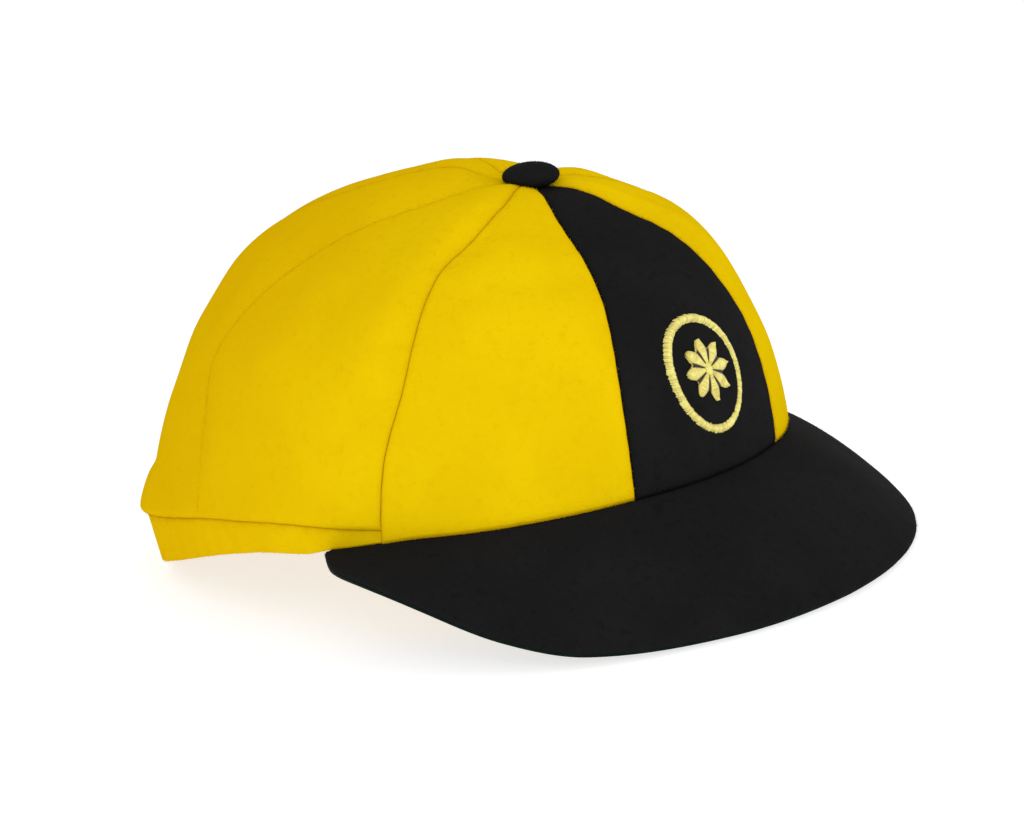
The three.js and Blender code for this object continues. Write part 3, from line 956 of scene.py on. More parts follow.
class Strands(Growth):
    """Short threads laid side by side, as in satin stitch."""

    def __init__(self) -> None:
        """Builds the tree."""
        super().__init__("satin_strands")
        thickness, arch = self.take("Thickness"), self.take("Arch")
        seed = self.take("Seed", "NodeSocketInt")
        material = self.take("Material", "NodeSocketMaterial")
        line = self.arc(6, (-0.5, 0, 0), (0, 0, 1), (0.5, 0, 0))
        end = self.node("ShaderNodeMath", {"operation": "ABSOLUTE"}, {0: self.coordinates()[0]})
        inputs = {"Curve": line, "Radius": 1 - (2 * end) ** 4 * 0.45}
        tapered = self.node("GeometryNodeSetCurveRadius", {}, inputs)
        points = self.node("GeometryNodeMeshToPoints", {}, {"Mesh": self.guide})
        along, facing = self.field("along", "FLOAT_VECTOR"), self.field("facing", "FLOAT_VECTOR")
        first = self.node("FunctionNodeAlignRotationToVector", {"axis": "X"}, {"Vector": along})
        inputs = {"Rotation": first, "Vector": facing}
        settings = {"axis": "Z", "pivot_axis": "X"}
        turned = self.node("FunctionNodeAlignRotationToVector", settings, inputs)
        bowed = self._squeezed(self.tube(tapered, self.section(5, 0.5)), thickness, arch)
        laid = self.planted(points, bowed, turned, self.vector(self.field("span"), 1, 1))
        settings = {"data_type": "FLOAT", "domain": "INSTANCE"}
        inputs = {"Geometry": laid, "Name": "strand", "Value": self.chance(0, 1, seed)}
        self.end(self.node("GeometryNodeStoreNamedAttribute", settings, inputs), material)

    def _squeezed(self, strand: Wire, thickness: Wire, arch: Wire) -> Wire:
        """Gives a strand of unit length its thickness and its arch.

        Args:
            strand: A tube of unit width that arches by half its length.
            thickness: Its real thickness.
            arch: How high its middle stands.

        Returns:
            The strand's mesh.
        """
        x, y, z = self.coordinates()
        bow = 0.5 - 2 * x * x
        raised = bow * 2 * arch + (z - bow) * thickness
        inputs = {"Geometry": strand, "Position": self.vector(x, y * thickness, raised)}
        return self.node("GeometryNodeSetPosition", {}, inputs)


class Wardrobe:
    """The finishes, and the trees that several pieces share."""

    def __init__(self) -> None:
        """Builds every material and tree once."""
        self.finishes = {
            Slot.YELLOW_FELT: Felt("yellow_felt", (0.765, 0.52, 0.0012), (0.8, 0.555, 0.0015),
                                   (0.68, 0.39, 0.0008), (0.5, 0.25, 0.0008), (0.6, 0.35, 0.0009),
                                   (1, 0.7, 0.0)).material(),
            Slot.BLACK_FELT: Felt("black_felt", (0.0104, 0.0104, 0.0109), (0.0122, 0.0122, 0.0127),
                                  (0.006, 0.006, 0.0064), (0.004, 0.004, 0.0042), (0.024, 0.024, 0.025),
                                  (0.5, 0.5, 0.52), 0.004, 0.02, 0.3, 0.6, 0.5).material(),
            Slot.GREEN_CLOTH: Twill("green_cloth", (0.004, 0.014, 0.009), (0.008, 0.028, 0.017),
                                   (0.003, 0.006, 0.0045)).material(),
            Slot.GOLD_THREAD: Thread("gold_thread", (0.98, 0.93, 0.28), (0.66, 0.51, 0.11),
                                     (0.02, 0.016, 0.012)).material(),
        }
        self.fuzz = Fuzz()
        self.strands = Strands()

    def dress(self, piece: bpy.types.Object, slot: Slot, *nodes: str) -> bpy.types.Object:
        """Gives a piece its finish and its place in the assembly.

        Args:
            piece: A finished object.
            slot: Its material slot.
            nodes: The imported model's nodes that it stands for.

        Returns:
            The same object.
        """
        if not piece.data.materials:
            piece.data.materials.append(self.finishes[slot])
        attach(piece, "root")
        if nodes:
            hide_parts(*nodes)
        log.info("%s: %d faces", piece.name, len(piece.data.polygons))
        return piece

    def felted(self, solid: Solid, node: str, slot: Slot, density: float, seed: int) -> None:
        """Makes a felt piece and grows its loose fibres.

        Args:
            solid: Its form, with a fuzz mark.
            node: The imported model's node that it stands for.
            slot: Its material slot.
            density: Fibres for each square millimetre where the fuzz mark is 1.
            seed: The seed for their places.
        """
        piece = self.dress(solid.made(f"{node}_felt"), slot, node)
        values = {
            "Density": density / METRES**2, "Length": FIBRE_LENGTH * METRES,
            "Thickness": FIBRE_THICKNESS, "Lean": 1.0, "Seed": seed, "Material": self.finishes[slot],
        }
        self.dress(self.fuzz.grow(piece, f"{piece.name}_fuzz", values), slot)


def rounded(outer: Array, inner: Array, near: Array, radius: float,
            groove: Array | float) -> tuple[Array, Array]:
    """Rounds the edges of a thick sheet.

    Args:
        outer: Rows of points of its outer side.
        inner: Rows of points of its inner side.
        near: How far each point is from the nearest edge.
        radius: How far in from the edge the rounding starts.
        groove: How much of the rounding its outer side takes, from 0 to 1, at each point or all over.

    Returns:
        The two sides, drawn together at the edges.
    """
    depth = 1 - np.clip(near / radius, 0, 1)
    full = np.maximum(np.sqrt(1 - depth**2), 0.1)[..., None]
    middle, half = (outer + inner) / 2, (outer - inner) / 2
    taken = np.broadcast_to(groove, near.shape)[..., None]
    return middle + half * (1 - taken * (1 - full)), middle - half * full


def edge_distance(points: Array, axis: int, sewn: float = 0.0) -> Array:
    """How far along a grid each point is from the nearer end.

    Args:
        points: Rows of points.
        axis: The axis to measure along.
        sewn: How much further the first end counts, because it is sewn and isn't free.

    Returns:
        The distance for each point.
    """
    start = along(points, axis)
    return np.minimum(start + sewn, start.take([-1], axis) - start)


@dataclass
class CrownPanel:
    """One felt panel of the crown."""

    form: CapForm
    name: str
    start: int
    end: int
    slot: Slot
    columns: int = 64
    rows: int = 104
    hem_steps: int = 12
    gap: float = 0.04
    foot_drop: float = 0.2
    foot_tuck: float = 0.4
    tuck_rows: float = 3.5
    seam_radius: float = 0.75
    end_margin: float = 0.1
    groove: float = 0.8
    crispness: tuple[float, ...] = (1.0, 0.4, 0.12, 0.2)
    flat_seam: float = 0.15
    flat_until: tuple[float, float] = (0.25, 0.5)
    fringe: float = 4.0
    fringe_reach: float = 0.8
    crease_shade_reach: float = 0.5
    hem_crease_shade: float = 0.65
    hem_crease_shade_reach: float = 0.45
    pucker: float = 0.07
    pucker_pitch: float = 7.5
    pucker_reach: float = 4.5
    calm: float = 0.12
    density: float = 2.4

    @property
    def hemmed(self) -> bool:
        """Whether the panel's foot is folded under above the band."""
        return min(abs(self.start), abs(self.end)) > 1

    def angles(self, across: Array, rise: Array) -> Array:
        """The angle of each place, given its share of the way across."""
        start, end = self.form.seam_angle(self.start, rise), self.form.seam_angle(self.end, rise)
        return start + (np.where(end < start, end + 360, end) - start) * across

    def sheets(self) -> tuple[Array, Array, Array, Array]:
        """Lays out the panel.

        Returns:
            Its outer and inner points in the cap's own frame, the distance of each from a
            seam, and its share of the way across.
        """
        form = self.form
        part = np.linspace(0, 1, self.rows + 1)[:, None]
        foot = float(form.hem_rise(self.angles(np.array(0.5), np.array(0.0)))) if self.hemmed else 0.0
        widths = np.cos(np.radians(foot + (form.top_rise - foot) * part))
        margin = self.gap / 2 / (form.half_width * math.radians(45) * np.maximum(widths, 0.03))
        even = 0.5 - 0.5 * np.cos(math.pi * np.arange(self.columns + 1) / self.columns)
        across = margin + (1 - 2 * margin) * even
        low = form.hem_rise(self.angles(across, np.array(5.0))) if self.hemmed else 0 * across
        rise = low + (form.top_rise - low) * part
        angle = self.angles(across, rise)
        normal = form.normal(angle, rise)
        flat = form.dome(angle, rise)
        seam = edge_distance(flat, 1)
        lift = form.relief(across, angle, rise) + self.wrinkles(flat, seam, across, part)
        outer = flat + normal * lift[..., None]
        if not self.hemmed:
            low = 1 - part
            outer[..., 2] += form.opening_height(angle) * low**6 - self.foot_drop * low**30
            tuck = self.foot_tuck * np.maximum(1 - part * self.rows / self.tuck_rows, 0) ** 2
            outer -= form.outwards(angle) * tuck[..., None]
        blend = smoothstep(part, 0, 0.05)[..., None]
        inward = -unit(form.outwards(angle) * (1 - blend) + normal * blend)
        inner = outer + inward * form.felt
        if self.hemmed:
            outer, inner = self.with_hem(outer, inner, angle[0])
            tail = outer.shape[0] - seam.shape[0]
            seam = np.concatenate([np.repeat(seam[:1], tail, 0), seam])
            across = np.concatenate([np.repeat(across[:1], tail, 0), across])
        return outer, inner, seam, across

    def with_hem(self, outer: Array, inner: Array, angle: Array) -> tuple[Array, Array]:
        """Rolls the panel's foot under.

        Args:
            outer: The panel's outer points.
            inner: Its inner points.
            angle: The angle of each point of its foot.

        Returns:
            Both sheets, with the hem's rows before the others.
        """
        form = self.form
        turn = np.linspace(math.radians(form.hem_turn), 0, self.hem_steps + 1)[:-1, None]
        radius = form.hem_radius(form.from_front(angle))[None, :]
        return (np.concatenate([form.rolled(outer[0], angle[None], radius, turn), outer]),
                np.concatenate([form.rolled(inner[0], angle[None], radius - form.felt, turn), inner]))

    def wrinkles(self, points: Array, seam: Array, across: Array, part: Array) -> Array:
        """The small unevenness of sewn felt.

        Args:
            points: Points of the dome.
            seam: How far each is from a seam.
            across: Its share of the way across.
            part: Its share of the way up.

        Returns:
            How far each stands out.
        """
        broad = Ripple(44, 0.28, 11).at(points) + Ripple(17, 0.07, 12).at(points)
        drift = Ripple(30, 2.2, 20 + 3 * abs(self.start)).at(points)
        side = np.where(across < 0.5, 0.0, 2.4)
        pulls = np.sin((along(points, 0) + drift) * 2 * math.pi / self.pucker_pitch + side)
        small = self.pucker * np.exp(-seam / self.pucker_reach) * pulls
        return (broad + small) * smoothstep(1 - part, 0, self.calm)

    def build(self, wardrobe: Wardrobe) -> None:
        """Makes the panel and its loose fibres.

        Args:
            wardrobe: The finishes.
        """
        outer, inner, seam, across = self.sheets()
        end = edge_distance(outer, 0)
        first, last = (self.crispness[abs(number) - 1] for number in (self.start, self.end))
        crisp = np.where(across < 0.5, first, last) + 0 * seam
        height = np.linspace(0, 1, len(seam))[:, None]
        crisp = crisp * np.where(crisp < self.flat_seam, smoothstep(height, *self.flat_until), 1)
        near = np.minimum(seam, end + self.end_margin)
        outer, inner = rounded(outer, inner, near, self.seam_radius, self.groove * crisp)
        # painted shade: the seam valleys and the creases at the panel's foot and top are darkened
        ragged = np.maximum(self.hem_crease_shade_reach + Ripple(5, 0.2, 70 + self.start).at(outer), 0.15)
        crease_shade = np.maximum(np.exp(-seam / self.crease_shade_reach) * np.sqrt(crisp),
                            self.hem_crease_shade * np.exp(-end / ragged))
        fringe = 0.0 if self.hemmed else self.fringe * np.exp(-end / self.fringe_reach)
        solid = Solid.wall(self.form, outer, inner, crease_shade, np.minimum(seam, end), fringe)
        # painted shade, darker towards the rear
        solid.marks["tone"] = self.form.tone(solid.points)
        wardrobe.felted(solid, self.name, self.slot, self.density, 40 + self.start)


@dataclass
class Crown:
    """The eight panels of the crown."""

    form: CapForm
    panels: tuple[tuple[str, int, int], ...] = (
        ("front_panel", -1, 1), ("right_front_panel", 1, 2), ("right_side_panel", 2, 3),
        ("right_rear_panel", 3, 4), ("rear_panel", 4, -4), ("left_rear_panel", -4, -3),
        ("left_side_panel", -3, -2), ("left_front_panel", -2, -1),
    )

    def build(self, wardrobe: Wardrobe) -> None:
        """Makes every panel.

        Args:
            wardrobe: The finishes.
        """
        for name, start, end in self.panels:
            slot = Slot.BLACK_FELT if name == "front_panel" else Slot.YELLOW_FELT
            CrownPanel(self.form, name, start, end, slot).build(wardrobe)


@dataclass
class RearBand:
    """The gathered band below the hem."""

    form: CapForm
    start: float = 69.1
    columns: int = 420
    rows: int = 30
    lean: float = 2.2
    lean_full: float = 120
    seam: float = 0.3
    gather: float = 0.16
    gather_pitch: float = 9.5
    crease_shade: float = 0.65
    crease_shade_reach: float = 0.7
    edge_radius: float = 0.7
    edge_roundness: float = 0.85
    edge: Curve = Curve((
        (69, 28.6), (75, 27.25), (80.5, 26), (86, 24.2), (95, 22.8), (102, 20.8), (110, 17.8),
        (125, 11.1), (140, 4.6), (148, 1.3), (155, 0), (180, 0),
    ))

    def build(self, wardrobe: Wardrobe) -> None:
        """Makes the band and its loose fibres.

        Args:
            wardrobe: The finishes.
        """
        form = self.form
        angle = np.linspace(self.start, 360 - self.start, self.columns + 1)[None, :]
        part = np.linspace(0, 1, self.rows + 1)[:, None]
        away = form.from_front(angle)
        radius, turn = form.hem_radius(away), math.radians(form.hem_turn)
        foot = form.dome(angle, form.hem_rise(angle))
        out = form.outwards(angle)
        inset = radius * (1 - math.cos(turn)) + self.seam * math.sin(turn)
        inset = inset + self.lean * smoothstep(away, form.hem_height.knots[0][0], self.lean_full)
        drift = Ripple(60, 5, 31).at(foot)
        waves = np.sin((along(foot, 1) + drift) * 2 * math.pi / self.gather_pitch)
        soft = smoothstep(part, 0.1, 0.5) * smoothstep(away, 74, 95)
        shift = (self.gather * waves * soft + Ripple(38, 0.3, 32).at(foot) * soft)[..., None] * out
        sides = []
        for depth in (0.0, form.felt):
            top = form.rolled(foot - out * depth, angle, radius - depth, np.array(turn))
            top = top - self.seam * (out * math.sin(turn) + UP * math.cos(turn))
            low = foot - out * (inset + depth)[..., None]
            low[..., 2] = form.height_in_cap(low, self.edge(away))
            sides.append(top + (low - top) * part[..., None] + shift)
        near = np.minimum(edge_distance(sides[0], 0, 0.25), edge_distance(sides[0], 1, 0.2))
        outer, inner = rounded(*sides, near, self.edge_radius, self.edge_roundness)
        tucked = np.linalg.norm(outer - outer[:1], axis=-1)
        # painted shade in the crease under the hem, where the band tucks under it
        ragged = np.maximum(self.crease_shade_reach + Ripple(5, 0.3, 33).at(outer), 0.2)
        solid = Solid.wall(form, outer, inner, self.crease_shade * np.exp(-tucked / ragged), near)
        # painted shade, darker towards the rear
        solid.marks["tone"] = form.tone(solid.points)
        wardrobe.felted(solid, "rear_band", Slot.YELLOW_FELT, 2.6, 60)


@dataclass
class Peak:
    """The black peak and its green lining."""

    form: CapForm
    upper: float = 1.8
    lining: float = 1.0
    gap: float = 0.3
    bulge: float = 2.2
    columns: int = 260
    rows: int = 60
    left_drop: float = 2.2
    left_fade: float = 8
    slope_reach: float = 4
    reach: Curve = Curve((
        (0, 35.7), (20, 34.6), (40, 32.6), (50, 28.8), (60, 22.8), (70, 16), (76, 9.6), (80.5, 0.5),
    ))
    lip: Curve = Curve(((60, 0), (69, 0.4), (75, 0.65), (79, 0.6), (80.5, 0.45)))
    lip_width: float = 2.5
    sewn_edge: float = 9
    rim_shade_reach: float = 0.8
    lining_inset: float = 0.12
    fall: Curve = Curve((
        (0, 32.3), (20, 32.1), (40, 29.4), (50, 23.4), (60, 14.4), (70, 5.6), (76, 1.8), (80.5, 0.1),
    ))

    def sheet(self, depth: float, inset: float) -> Array:
        """One of the peak's surfaces.

        Args:
            depth: How far it lies below the upper surface.
            inset: How far inside the peak's outline it ends.

        Returns:
            Rows of points in the cap's own frame, from the opening to the edge.
        """
        form = self.form
        angle = np.linspace(-form.peak_end, form.peak_end, self.columns + 1)[None, :]
        part = np.linspace(0, 1, self.rows + 1)[:, None]
        away = form.from_front(angle)
        reach = -form.felt + (self.reach(away) - inset + form.felt) * part
        share = np.maximum(reach, 0) / self.reach(away)
        aside = np.sin(np.radians(angle))
        fade = 1 - (away / form.peak_end) ** self.left_fade
        fall = self.fall(away) - self.left_drop * aside * np.abs(aside) * fade
        arch = self.bulge * (1 - (2 * share - 1) ** 2) * np.cos(np.radians(angle))
        height = form.opening_height(angle) - self.gap - fall * share + arch
        height = height + self.lip(away) * smoothstep(-reach, -self.lip_width, 0)
        slope = np.arctan2(fall, np.maximum(self.reach(away), self.slope_reach)) * share
        down = -form.outwards(angle) * np.sin(slope)[..., None] - UP * np.cos(slope)[..., None]
        return form.oval(angle, reach, height) + down * depth

    def build(self, wardrobe: Wardrobe) -> None:
        """Makes the peak's two layers and the felt's loose fibres.

        Args:
            wardrobe: The finishes.
        """
        form = self.form
        layers = (
            ("peak", 0.0, self.upper, 0.0, Slot.BLACK_FELT),
            ("peak_lining", self.upper + self.gap, self.upper + self.gap + self.lining,
             self.lining_inset, Slot.GREEN_CLOTH),
        )
        for node, high, low, inset, slot in layers:
            outer, inner = self.sheet(high, inset), self.sheet(low, inset)
            near = np.minimum(edge_distance(outer, 0, self.sewn_edge), edge_distance(outer, 1))
            outer, inner = rounded(outer, inner, near, (low - high) / 2, 1.0)
            # painted shade on the lining's rim only; the felt takes none here
            rim = np.exp(-near / self.rim_shade_reach) * (slot is Slot.GREEN_CLOTH)
            solid = Solid.wall(form, outer, inner, rim, near)
            if slot is Slot.BLACK_FELT:
                wardrobe.felted(solid, node, slot, 3.0, 70)
            else:
                wardrobe.dress(solid.made(f"{node}_cloth"), slot, node)


@dataclass
class TopButton:
    """The covered button."""

    form: CapForm
    radius: float = 8.15
    ahead: float = 2.5
    middle: float = 83.9
    half_height: float = 3.75
    clearance: float = 0.4
    front_down: float = 3.5
    sides: int = 96
    rings: int = 18

    def towards(self, x: Array, y: Array, rise: Array) -> Array:
        """The dome's points at a rise, in the direction of each place.

        Args:
            x: How far each place is to the side.
            y: How far it is behind the crown's highest point.
            rise: The rise at each.

        Returns:
            The points.
        """
        ahead = self.form.centre_at(rise) - y
        long = np.where(ahead > 0, self.form.front_half_length, self.form.rear_half_length)
        angle = np.degrees(np.arctan2(-x / self.form.half_width, ahead / long))
        return self.form.dome(angle, rise)

    def crown_height(self, x: Array, y: Array) -> Array:
        """The crown's height at places near its top.

        Args:
            x: How far each place is to the side.
            y: How far it is behind the crown's highest point.

        Returns:
            The dome's height at each place.
        """
        low, high = np.full(x.shape, 60.0), np.full(x.shape, 90.0)
        for _ in range(24):
            rise = (low + high) / 2
            point, centre = self.towards(x, y, rise), self.form.centre_at(rise)
            outside = np.hypot(point[..., 0], point[..., 1] - centre) > np.hypot(x, y - centre)
            low, high = np.where(outside, rise, low), np.where(outside, high, rise)
        return self.towards(x, y, low)[..., 2]

    def place(self, share: Array, turn: Array, side: int) -> Array:
        """Points of the button.

        Args:
            share: How far out each point is, as a share of the radius.
            turn: Its direction, in radians from the front.
            side: 1 for the upper side and -1 for the under side.

        Returns:
            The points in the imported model's frame.
        """
        forward = self.radius * share * np.cos(turn)
        x, y = -self.radius * share * np.sin(turn), -forward - self.ahead
        middle = self.middle - forward * math.tan(math.radians(self.front_down))
        bulge = self.half_height * np.sqrt(np.maximum(1 - share**2, 0))
        under = np.maximum(middle - bulge, self.crown_height(x, y) + self.clearance)
        height = under if side < 0 else np.maximum(middle + bulge, under)
        return self.form.settle(np.stack([x, y, height], -1))

    def build(self, wardrobe: Wardrobe) -> None:
        """Makes the button and its loose fibres.

        Args:
            wardrobe: The finishes.
        """
        turn = ring_turns(self.sides)[None, :]
        share = np.sin(np.linspace(0, math.pi / 2, self.rings + 1)[1:])[:, None] + 0 * turn
        under, over = self.place(share, turn, -1), self.place(share[-2::-1], turn, 1)
        pole = np.zeros(1)
        first, last = self.place(pole, pole, -1)[0], self.place(pole, pole, 1)[0]
        solid = Solid.of_rings(first, np.concatenate([under, over]), last)
        low = np.concatenate([[0], np.zeros(under[:-3].shape[:2]).ravel()])
        solid.marks["fuzz"] = np.concatenate([low, np.ones(len(solid.points) - len(low))])
        wardrobe.felted(solid, "top_button", Slot.BLACK_FELT, 1.6, 80)


@dataclass
class Badge:
    """The embroidered badge: an oval ring round a rosette."""

    form: CapForm
    rise: float = 20.5
    aside: float = 2
    half_width: float = 14.5
    half_height: float = 16.8
    ring_width: float = 1.9
    thickness: float = 1
    clearance: float = 0.35
    rosette_radius: float = 8.8
    petals: int = 8
    scallop: float = 0.17
    thread: float = 0.34
    ragged: float = 0.22
    knot: float = 1.7
    ring_profile: tuple[tuple[float, float], ...] = (
        (0.1, 0), (0.1, 0.2), (0.5, 0.42), (0.9, 0.2), (0.9, 0),
    )
    petal_profile: tuple[tuple[float, float], ...] = (
        (0.5, 0), (1, 0), (1, 0.12), (0.94, 0.34), (0.8, 0.5), (0.6, 0.55), (0.4, 0.5), (0.25, 0.45),
        (0.12, 0.45),
    )
    ring_slant: float = 0.012
    ring_arch: float = 0.75
    petal_arch: float = 1.05
    pitch: float = 0.3
    guide_lift: float = 0.12

    def place(self, x: Array, y: Array, lift: Array | float) -> Array:
        """Points on the front panel.

        Args:
            x: How far across from the badge's middle, in the picture's sense.
            y: How far up from it.
            lift: How far off the panel.

        Returns:
            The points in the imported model's frame.
        """
        form = self.form
        low, high = form.dome(np.array(0.0), np.array([self.rise, self.rise + 1]))
        rise = self.rise + y / np.linalg.norm(high - low)
        width = form.half_width * form.front(rise) * np.cos(np.radians(rise))
        angle = np.degrees(np.arcsin((self.aside - x) / width))
        start, end = form.seam_angle(-1, rise), form.seam_angle(1, rise)
        relief = form.relief((angle - start) / (end - start), angle, rise) + lift
        return form.settle(form.dome(angle, rise) + form.normal(angle, rise) * relief[..., None])

    def laid(self, start: Array, end: Array, lift: float, name: str) -> bpy.types.Object:
        """A guide mesh with a point for each strand.

        Args:
            start: Where each strand starts, across and up on the badge.
            end: Where it ends.
            lift: How far the strands' ends lie off the panel.
            name: The guide's name.

        Returns:
            The guide.
        """
        middle = (start + end) / 2
        ends = [self.place(p[:, 0], p[:, 1], lift) for p in (start, end)]
        centre = (ends[0] + ends[1]) / 2
        raised = self.place(middle[:, 0], middle[:, 1], lift + 1)
        span = np.linalg.norm(ends[1] - ends[0], axis=-1)
        mesh = bpy.data.meshes.new(name)
        mesh.from_pydata((centre * METRES).tolist(), [], [])
        give(mesh, "along", unit(ends[1] - ends[0]))
        give(mesh, "facing", unit(raised - self.place(middle[:, 0], middle[:, 1], lift)))
        give(mesh, "span", span * METRES)
        return linked(name, mesh)

    def stitched(self, solid: Solid, start: Array, end: Array, arch: float, node: str,
                 wardrobe: Wardrobe) -> None:
        """Covers a padded form with satin stitch.

        Args:
            solid: The form below the threads.
            start: Where each strand starts.
            end: Where it ends.
            arch: How high the strands stand in their middles.
            node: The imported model's node that it stands for.
            wardrobe: The finishes.
        """
        name, gold = f"{node}_stitch", wardrobe.finishes[Slot.GOLD_THREAD]
        base = solid.made(name)
        base.data.materials.append(gold)
        guide = self.laid(start, end, self.guide_lift, f"{name}_guide")
        values = {
            "Thickness": self.thread * METRES, "Arch": arch * METRES, "Seed": 5, "Material": gold,
        }
        strands = wardrobe.strands.grow(guide, f"{name}_strands", values)
        bpy.data.objects.remove(guide)
        with bpy.context.temp_override(active_object=base, selected_editable_objects=[base, strands]):
            bpy.ops.object.join()
        wardrobe.dress(base, Slot.GOLD_THREAD, node)

    def ring(self, wardrobe: Wardrobe) -> None:
        """Makes the oval ring.

        Args:
            wardrobe: The finishes.
        """
        turn = ring_turns(160)[:, None]
        inwards, lift = np.array(self.ring_profile).T * [[self.ring_width], [self.thickness]]
        lift = self.clearance + lift
        x = np.cos(turn) * (self.half_width - inwards)
        y = np.sin(turn) * (self.half_height - inwards)
        solid = Solid.of_loop(self.place(x, y, np.broadcast_to(lift, x.shape)))
        # painted shade: the form between the strands leans to the deep gold
        solid.marks["strand"] = np.zeros(len(solid.points))
        turn = ring_turns(330)
        chance = np.random.default_rng(7)
        ends = []
        for inset in (0.0, self.ring_width):
            uneven = inset + chance.uniform(-self.ragged, self.ragged, len(turn))
            slant = turn + (self.ring_slant if inset else -self.ring_slant)
            ends.append(np.stack([np.cos(slant) * (self.half_width - uneven),
                                  np.sin(slant) * (self.half_height - uneven)], -1))
        self.stitched(solid, *ends, self.ring_arch, "badge_ring", wardrobe)

    def rosette(self, wardrobe: Wardrobe) -> None:
        """Makes the rosette: low padded petals under threads that cross them.

        Args:
            wardrobe: The finishes.
        """
        turn = ring_turns(24 * self.petals)
        groove = np.abs((turn * self.petals / (2 * math.pi) + 0.5) % 1 - 0.5) * 2
        swell = np.sqrt(1 - np.minimum(groove / 0.9, 1) ** 2)
        rings, marks = [], [np.zeros(1)]
        for size, height in self.petal_profile:
            radius = self.outline(turn, size)
            lift = self.clearance + self.thickness * height * (0.15 + 0.85 * swell)
            rings.append(self.place(radius * np.sin(turn), radius * np.cos(turn), lift))
            # painted shade: near-black in the grooves between the petals
            marks.append(-smoothstep(groove, 0.62, 0.85))
        ends = self.clearance + np.array([0, self.petal_profile[-1][1] * self.thickness])
        low, high = self.place(np.zeros(2), np.zeros(2), ends)
        solid = Solid.of_rings(low, np.array(rings), high)
        solid.marks["strand"] = np.concatenate([*marks, np.zeros(1)])
        self.stitched(solid, *self.petal_threads(), self.petal_arch, "badge_rosette", wardrobe)

    def outline(self, turn: Array, size: Array | float) -> Array:
        """The rosette's radius in each direction, at a share of its size."""
        scallop = 1 - self.scallop * (1 - np.cos(turn * self.petals)) * size
        return self.rosette_radius * size * scallop

    def petal_threads(self) -> tuple[Array, Array]:
        """Lays threads across each petal and across the knot in the middle.

        Returns:
            Where each thread starts and where it ends, across and up on the badge.
        """
        chance = np.random.default_rng(9)
        radius = np.arange(self.knot * 1.15, self.rosette_radius * 0.985, self.pitch)
        share = radius / self.rosette_radius
        reach = np.clip(1 - (1 - share) / self.scallop, -1, 1)
        half = np.arccos(reach) / self.petals - 0.32 / radius
        along = chance.uniform(-self.ragged, self.ragged, (2, self.petals, len(radius))) / 2
        starts, ends = [], []
        for petal in range(self.petals):
            axis = 2 * math.pi * petal / self.petals
            for side, kept in ((-1, starts), (1, ends)):
                turn = axis + side * (half + along[0 if side < 0 else 1, petal] / radius)
                kept.append(np.stack([radius * np.sin(turn), radius * np.cos(turn)], -1)[half > 0.03])
        rows = np.arange(-self.knot * 0.9, self.knot * 0.9, self.pitch)
        wide = np.sqrt(self.knot**2 - rows**2)
        starts.append(np.stack([-wide, rows], -1))
        ends.append(np.stack([wide, rows], -1))
        return np.concatenate(starts), np.concatenate(ends)

    def build(self, wardrobe: Wardrobe) -> None:
        """Makes both parts of the badge."""
        self.ring(wardrobe)
        self.rosette(wardrobe)


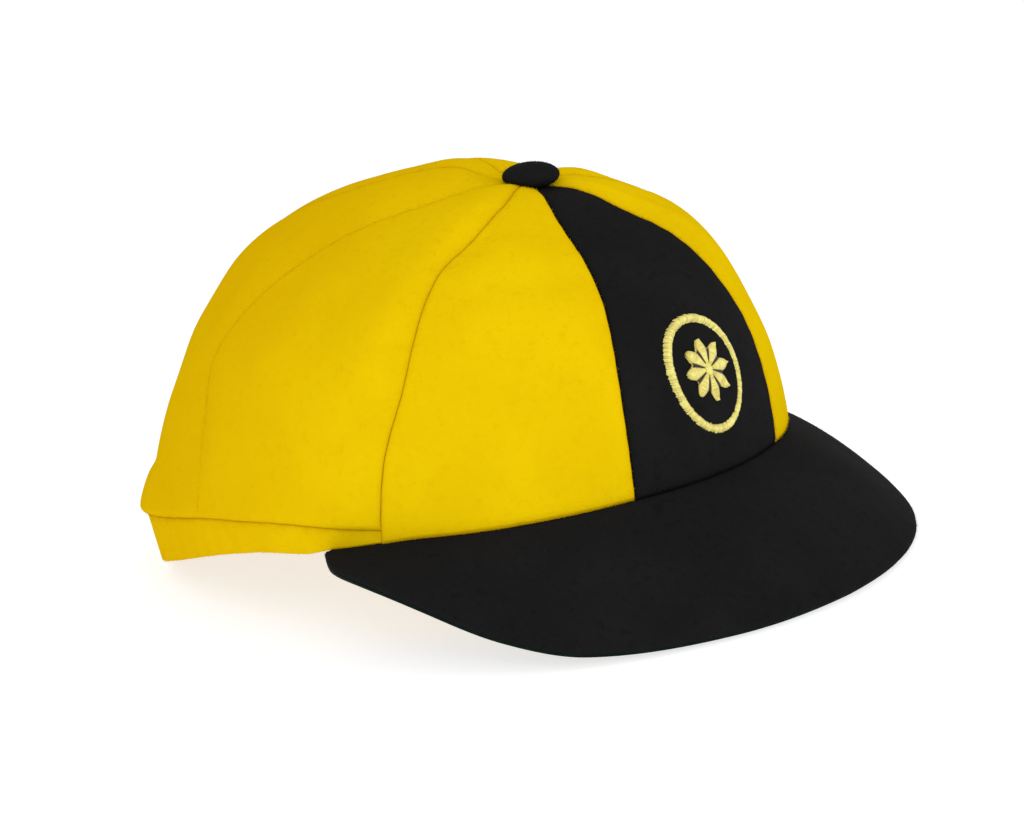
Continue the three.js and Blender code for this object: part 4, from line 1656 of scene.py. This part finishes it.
@dataclass
class Studio:
    """The camera, the pale floor and the soft lights."""

    azimuth: float = 51.17
    elevation: float = 14.17
    distance: float = 934.0
    centre: tuple[float, float, float] = (0.0, -22.5381, 29.4)
    roll: float = -5.25
    focal_pixels: float = 3251
    sensor: float = 36
    picture: tuple[int, int] = (1024, 838)
    centre_pixel: tuple[float, float] = (564.65, 463.46)
    floor_size: float = 30.0
    floor_colour: Rgb = (0.46, 0.49, 0.52)
    floor_glow: float = 0.7
    sky_colour: Rgb = (1, 0.97, 0.94)
    sky_strength: float = 0.8
    lamps: tuple[tuple[str, Rgb, float, float], ...] = (
        ("key", (-1.35, -1.35, 0.95), 1.4, 11.0), ("fill", (1.2, -1.5, 1.0), 1.8, 1.7),
    )

    def camera(self) -> None:
        """Makes the camera, aimed through the middle of the picture."""
        a, e = math.radians(self.azimuth), math.radians(self.elevation)
        back = Vector((-math.sin(a) * math.cos(e), -math.cos(a) * math.cos(e), math.sin(e)))
        rolled = Matrix.Rotation(math.radians(self.roll), 3, "Z").to_quaternion()
        turned = back.to_track_quat("Z", "Y") @ rolled
        aside = (self.picture[0] / 2 - self.centre_pixel[0]) / self.focal_pixels
        above = (self.centre_pixel[1] - self.picture[1] / 2) / self.focal_pixels
        aimed = turned @ Vector((aside, above, -1))
        swing = (-back).rotation_difference(aimed)
        made = linked("camera", bpy.data.cameras.new("camera"))
        made.data.sensor_width = self.sensor
        made.data.lens = self.focal_pixels * self.sensor / self.picture[0]
        made.data.clip_end = 100
        made.location = (Vector(self.centre) + back * self.distance) * METRES
        made.rotation_mode = "QUATERNION"
        made.rotation_quaternion = swing @ turned
        bpy.context.scene.camera = made

    def light(self, name: str, place: Sequence[float], size: float, power: float) -> None:
        """Adds a soft square light that faces the cap.

        Args:
            name: Its name.
            place: Where it is, in metres.
            size: The length of its sides, in metres.
            power: Its power, in watts.
        """
        lamp = bpy.data.lights.new(name, "AREA")
        lamp.size = size
        lamp.energy = power
        made = linked(name, lamp)
        made.location = place
        made.rotation_mode = "QUATERNION"
        made.rotation_quaternion = Vector(place).to_track_quat("Z", "Y")

    def build(self) -> None:
        """Makes the camera, the floor and the lights."""
        self.camera()
        half = self.floor_size / 2
        mesh = bpy.data.meshes.new("floor")
        mesh.from_pydata([(-half, -half, 0), (half, -half, 0), (half, half, 0), (-half, half, 0)], [],
                         [(0, 1, 2, 3)])
        mesh.materials.append(Plain("pale_floor", self.floor_colour, self.floor_glow).material())
        linked("floor", mesh)
        for lamp in self.lamps:
            self.light(*lamp)
        world = bpy.data.worlds.new("studio")
        world.use_nodes = True
        sky = world.node_tree.nodes["Background"].inputs
        sky["Color"].default_value = (*self.sky_colour, 1)
        sky["Strength"].default_value = self.sky_strength
        bpy.context.scene.world = world
        bpy.context.scene.view_settings.view_transform = "Standard"


def main() -> None:
    """Builds the studio and the cap."""
    logging.basicConfig(level=logging.INFO, format="%(name)s: %(message)s")
    form = CapForm()
    Studio().build()
    wardrobe = Wardrobe()
    for part in (Crown(form), RearBand(form), Peak(form), TopButton(form), Badge(form)):
        part.build(wardrobe)


if __name__ == "__main__":
    main()
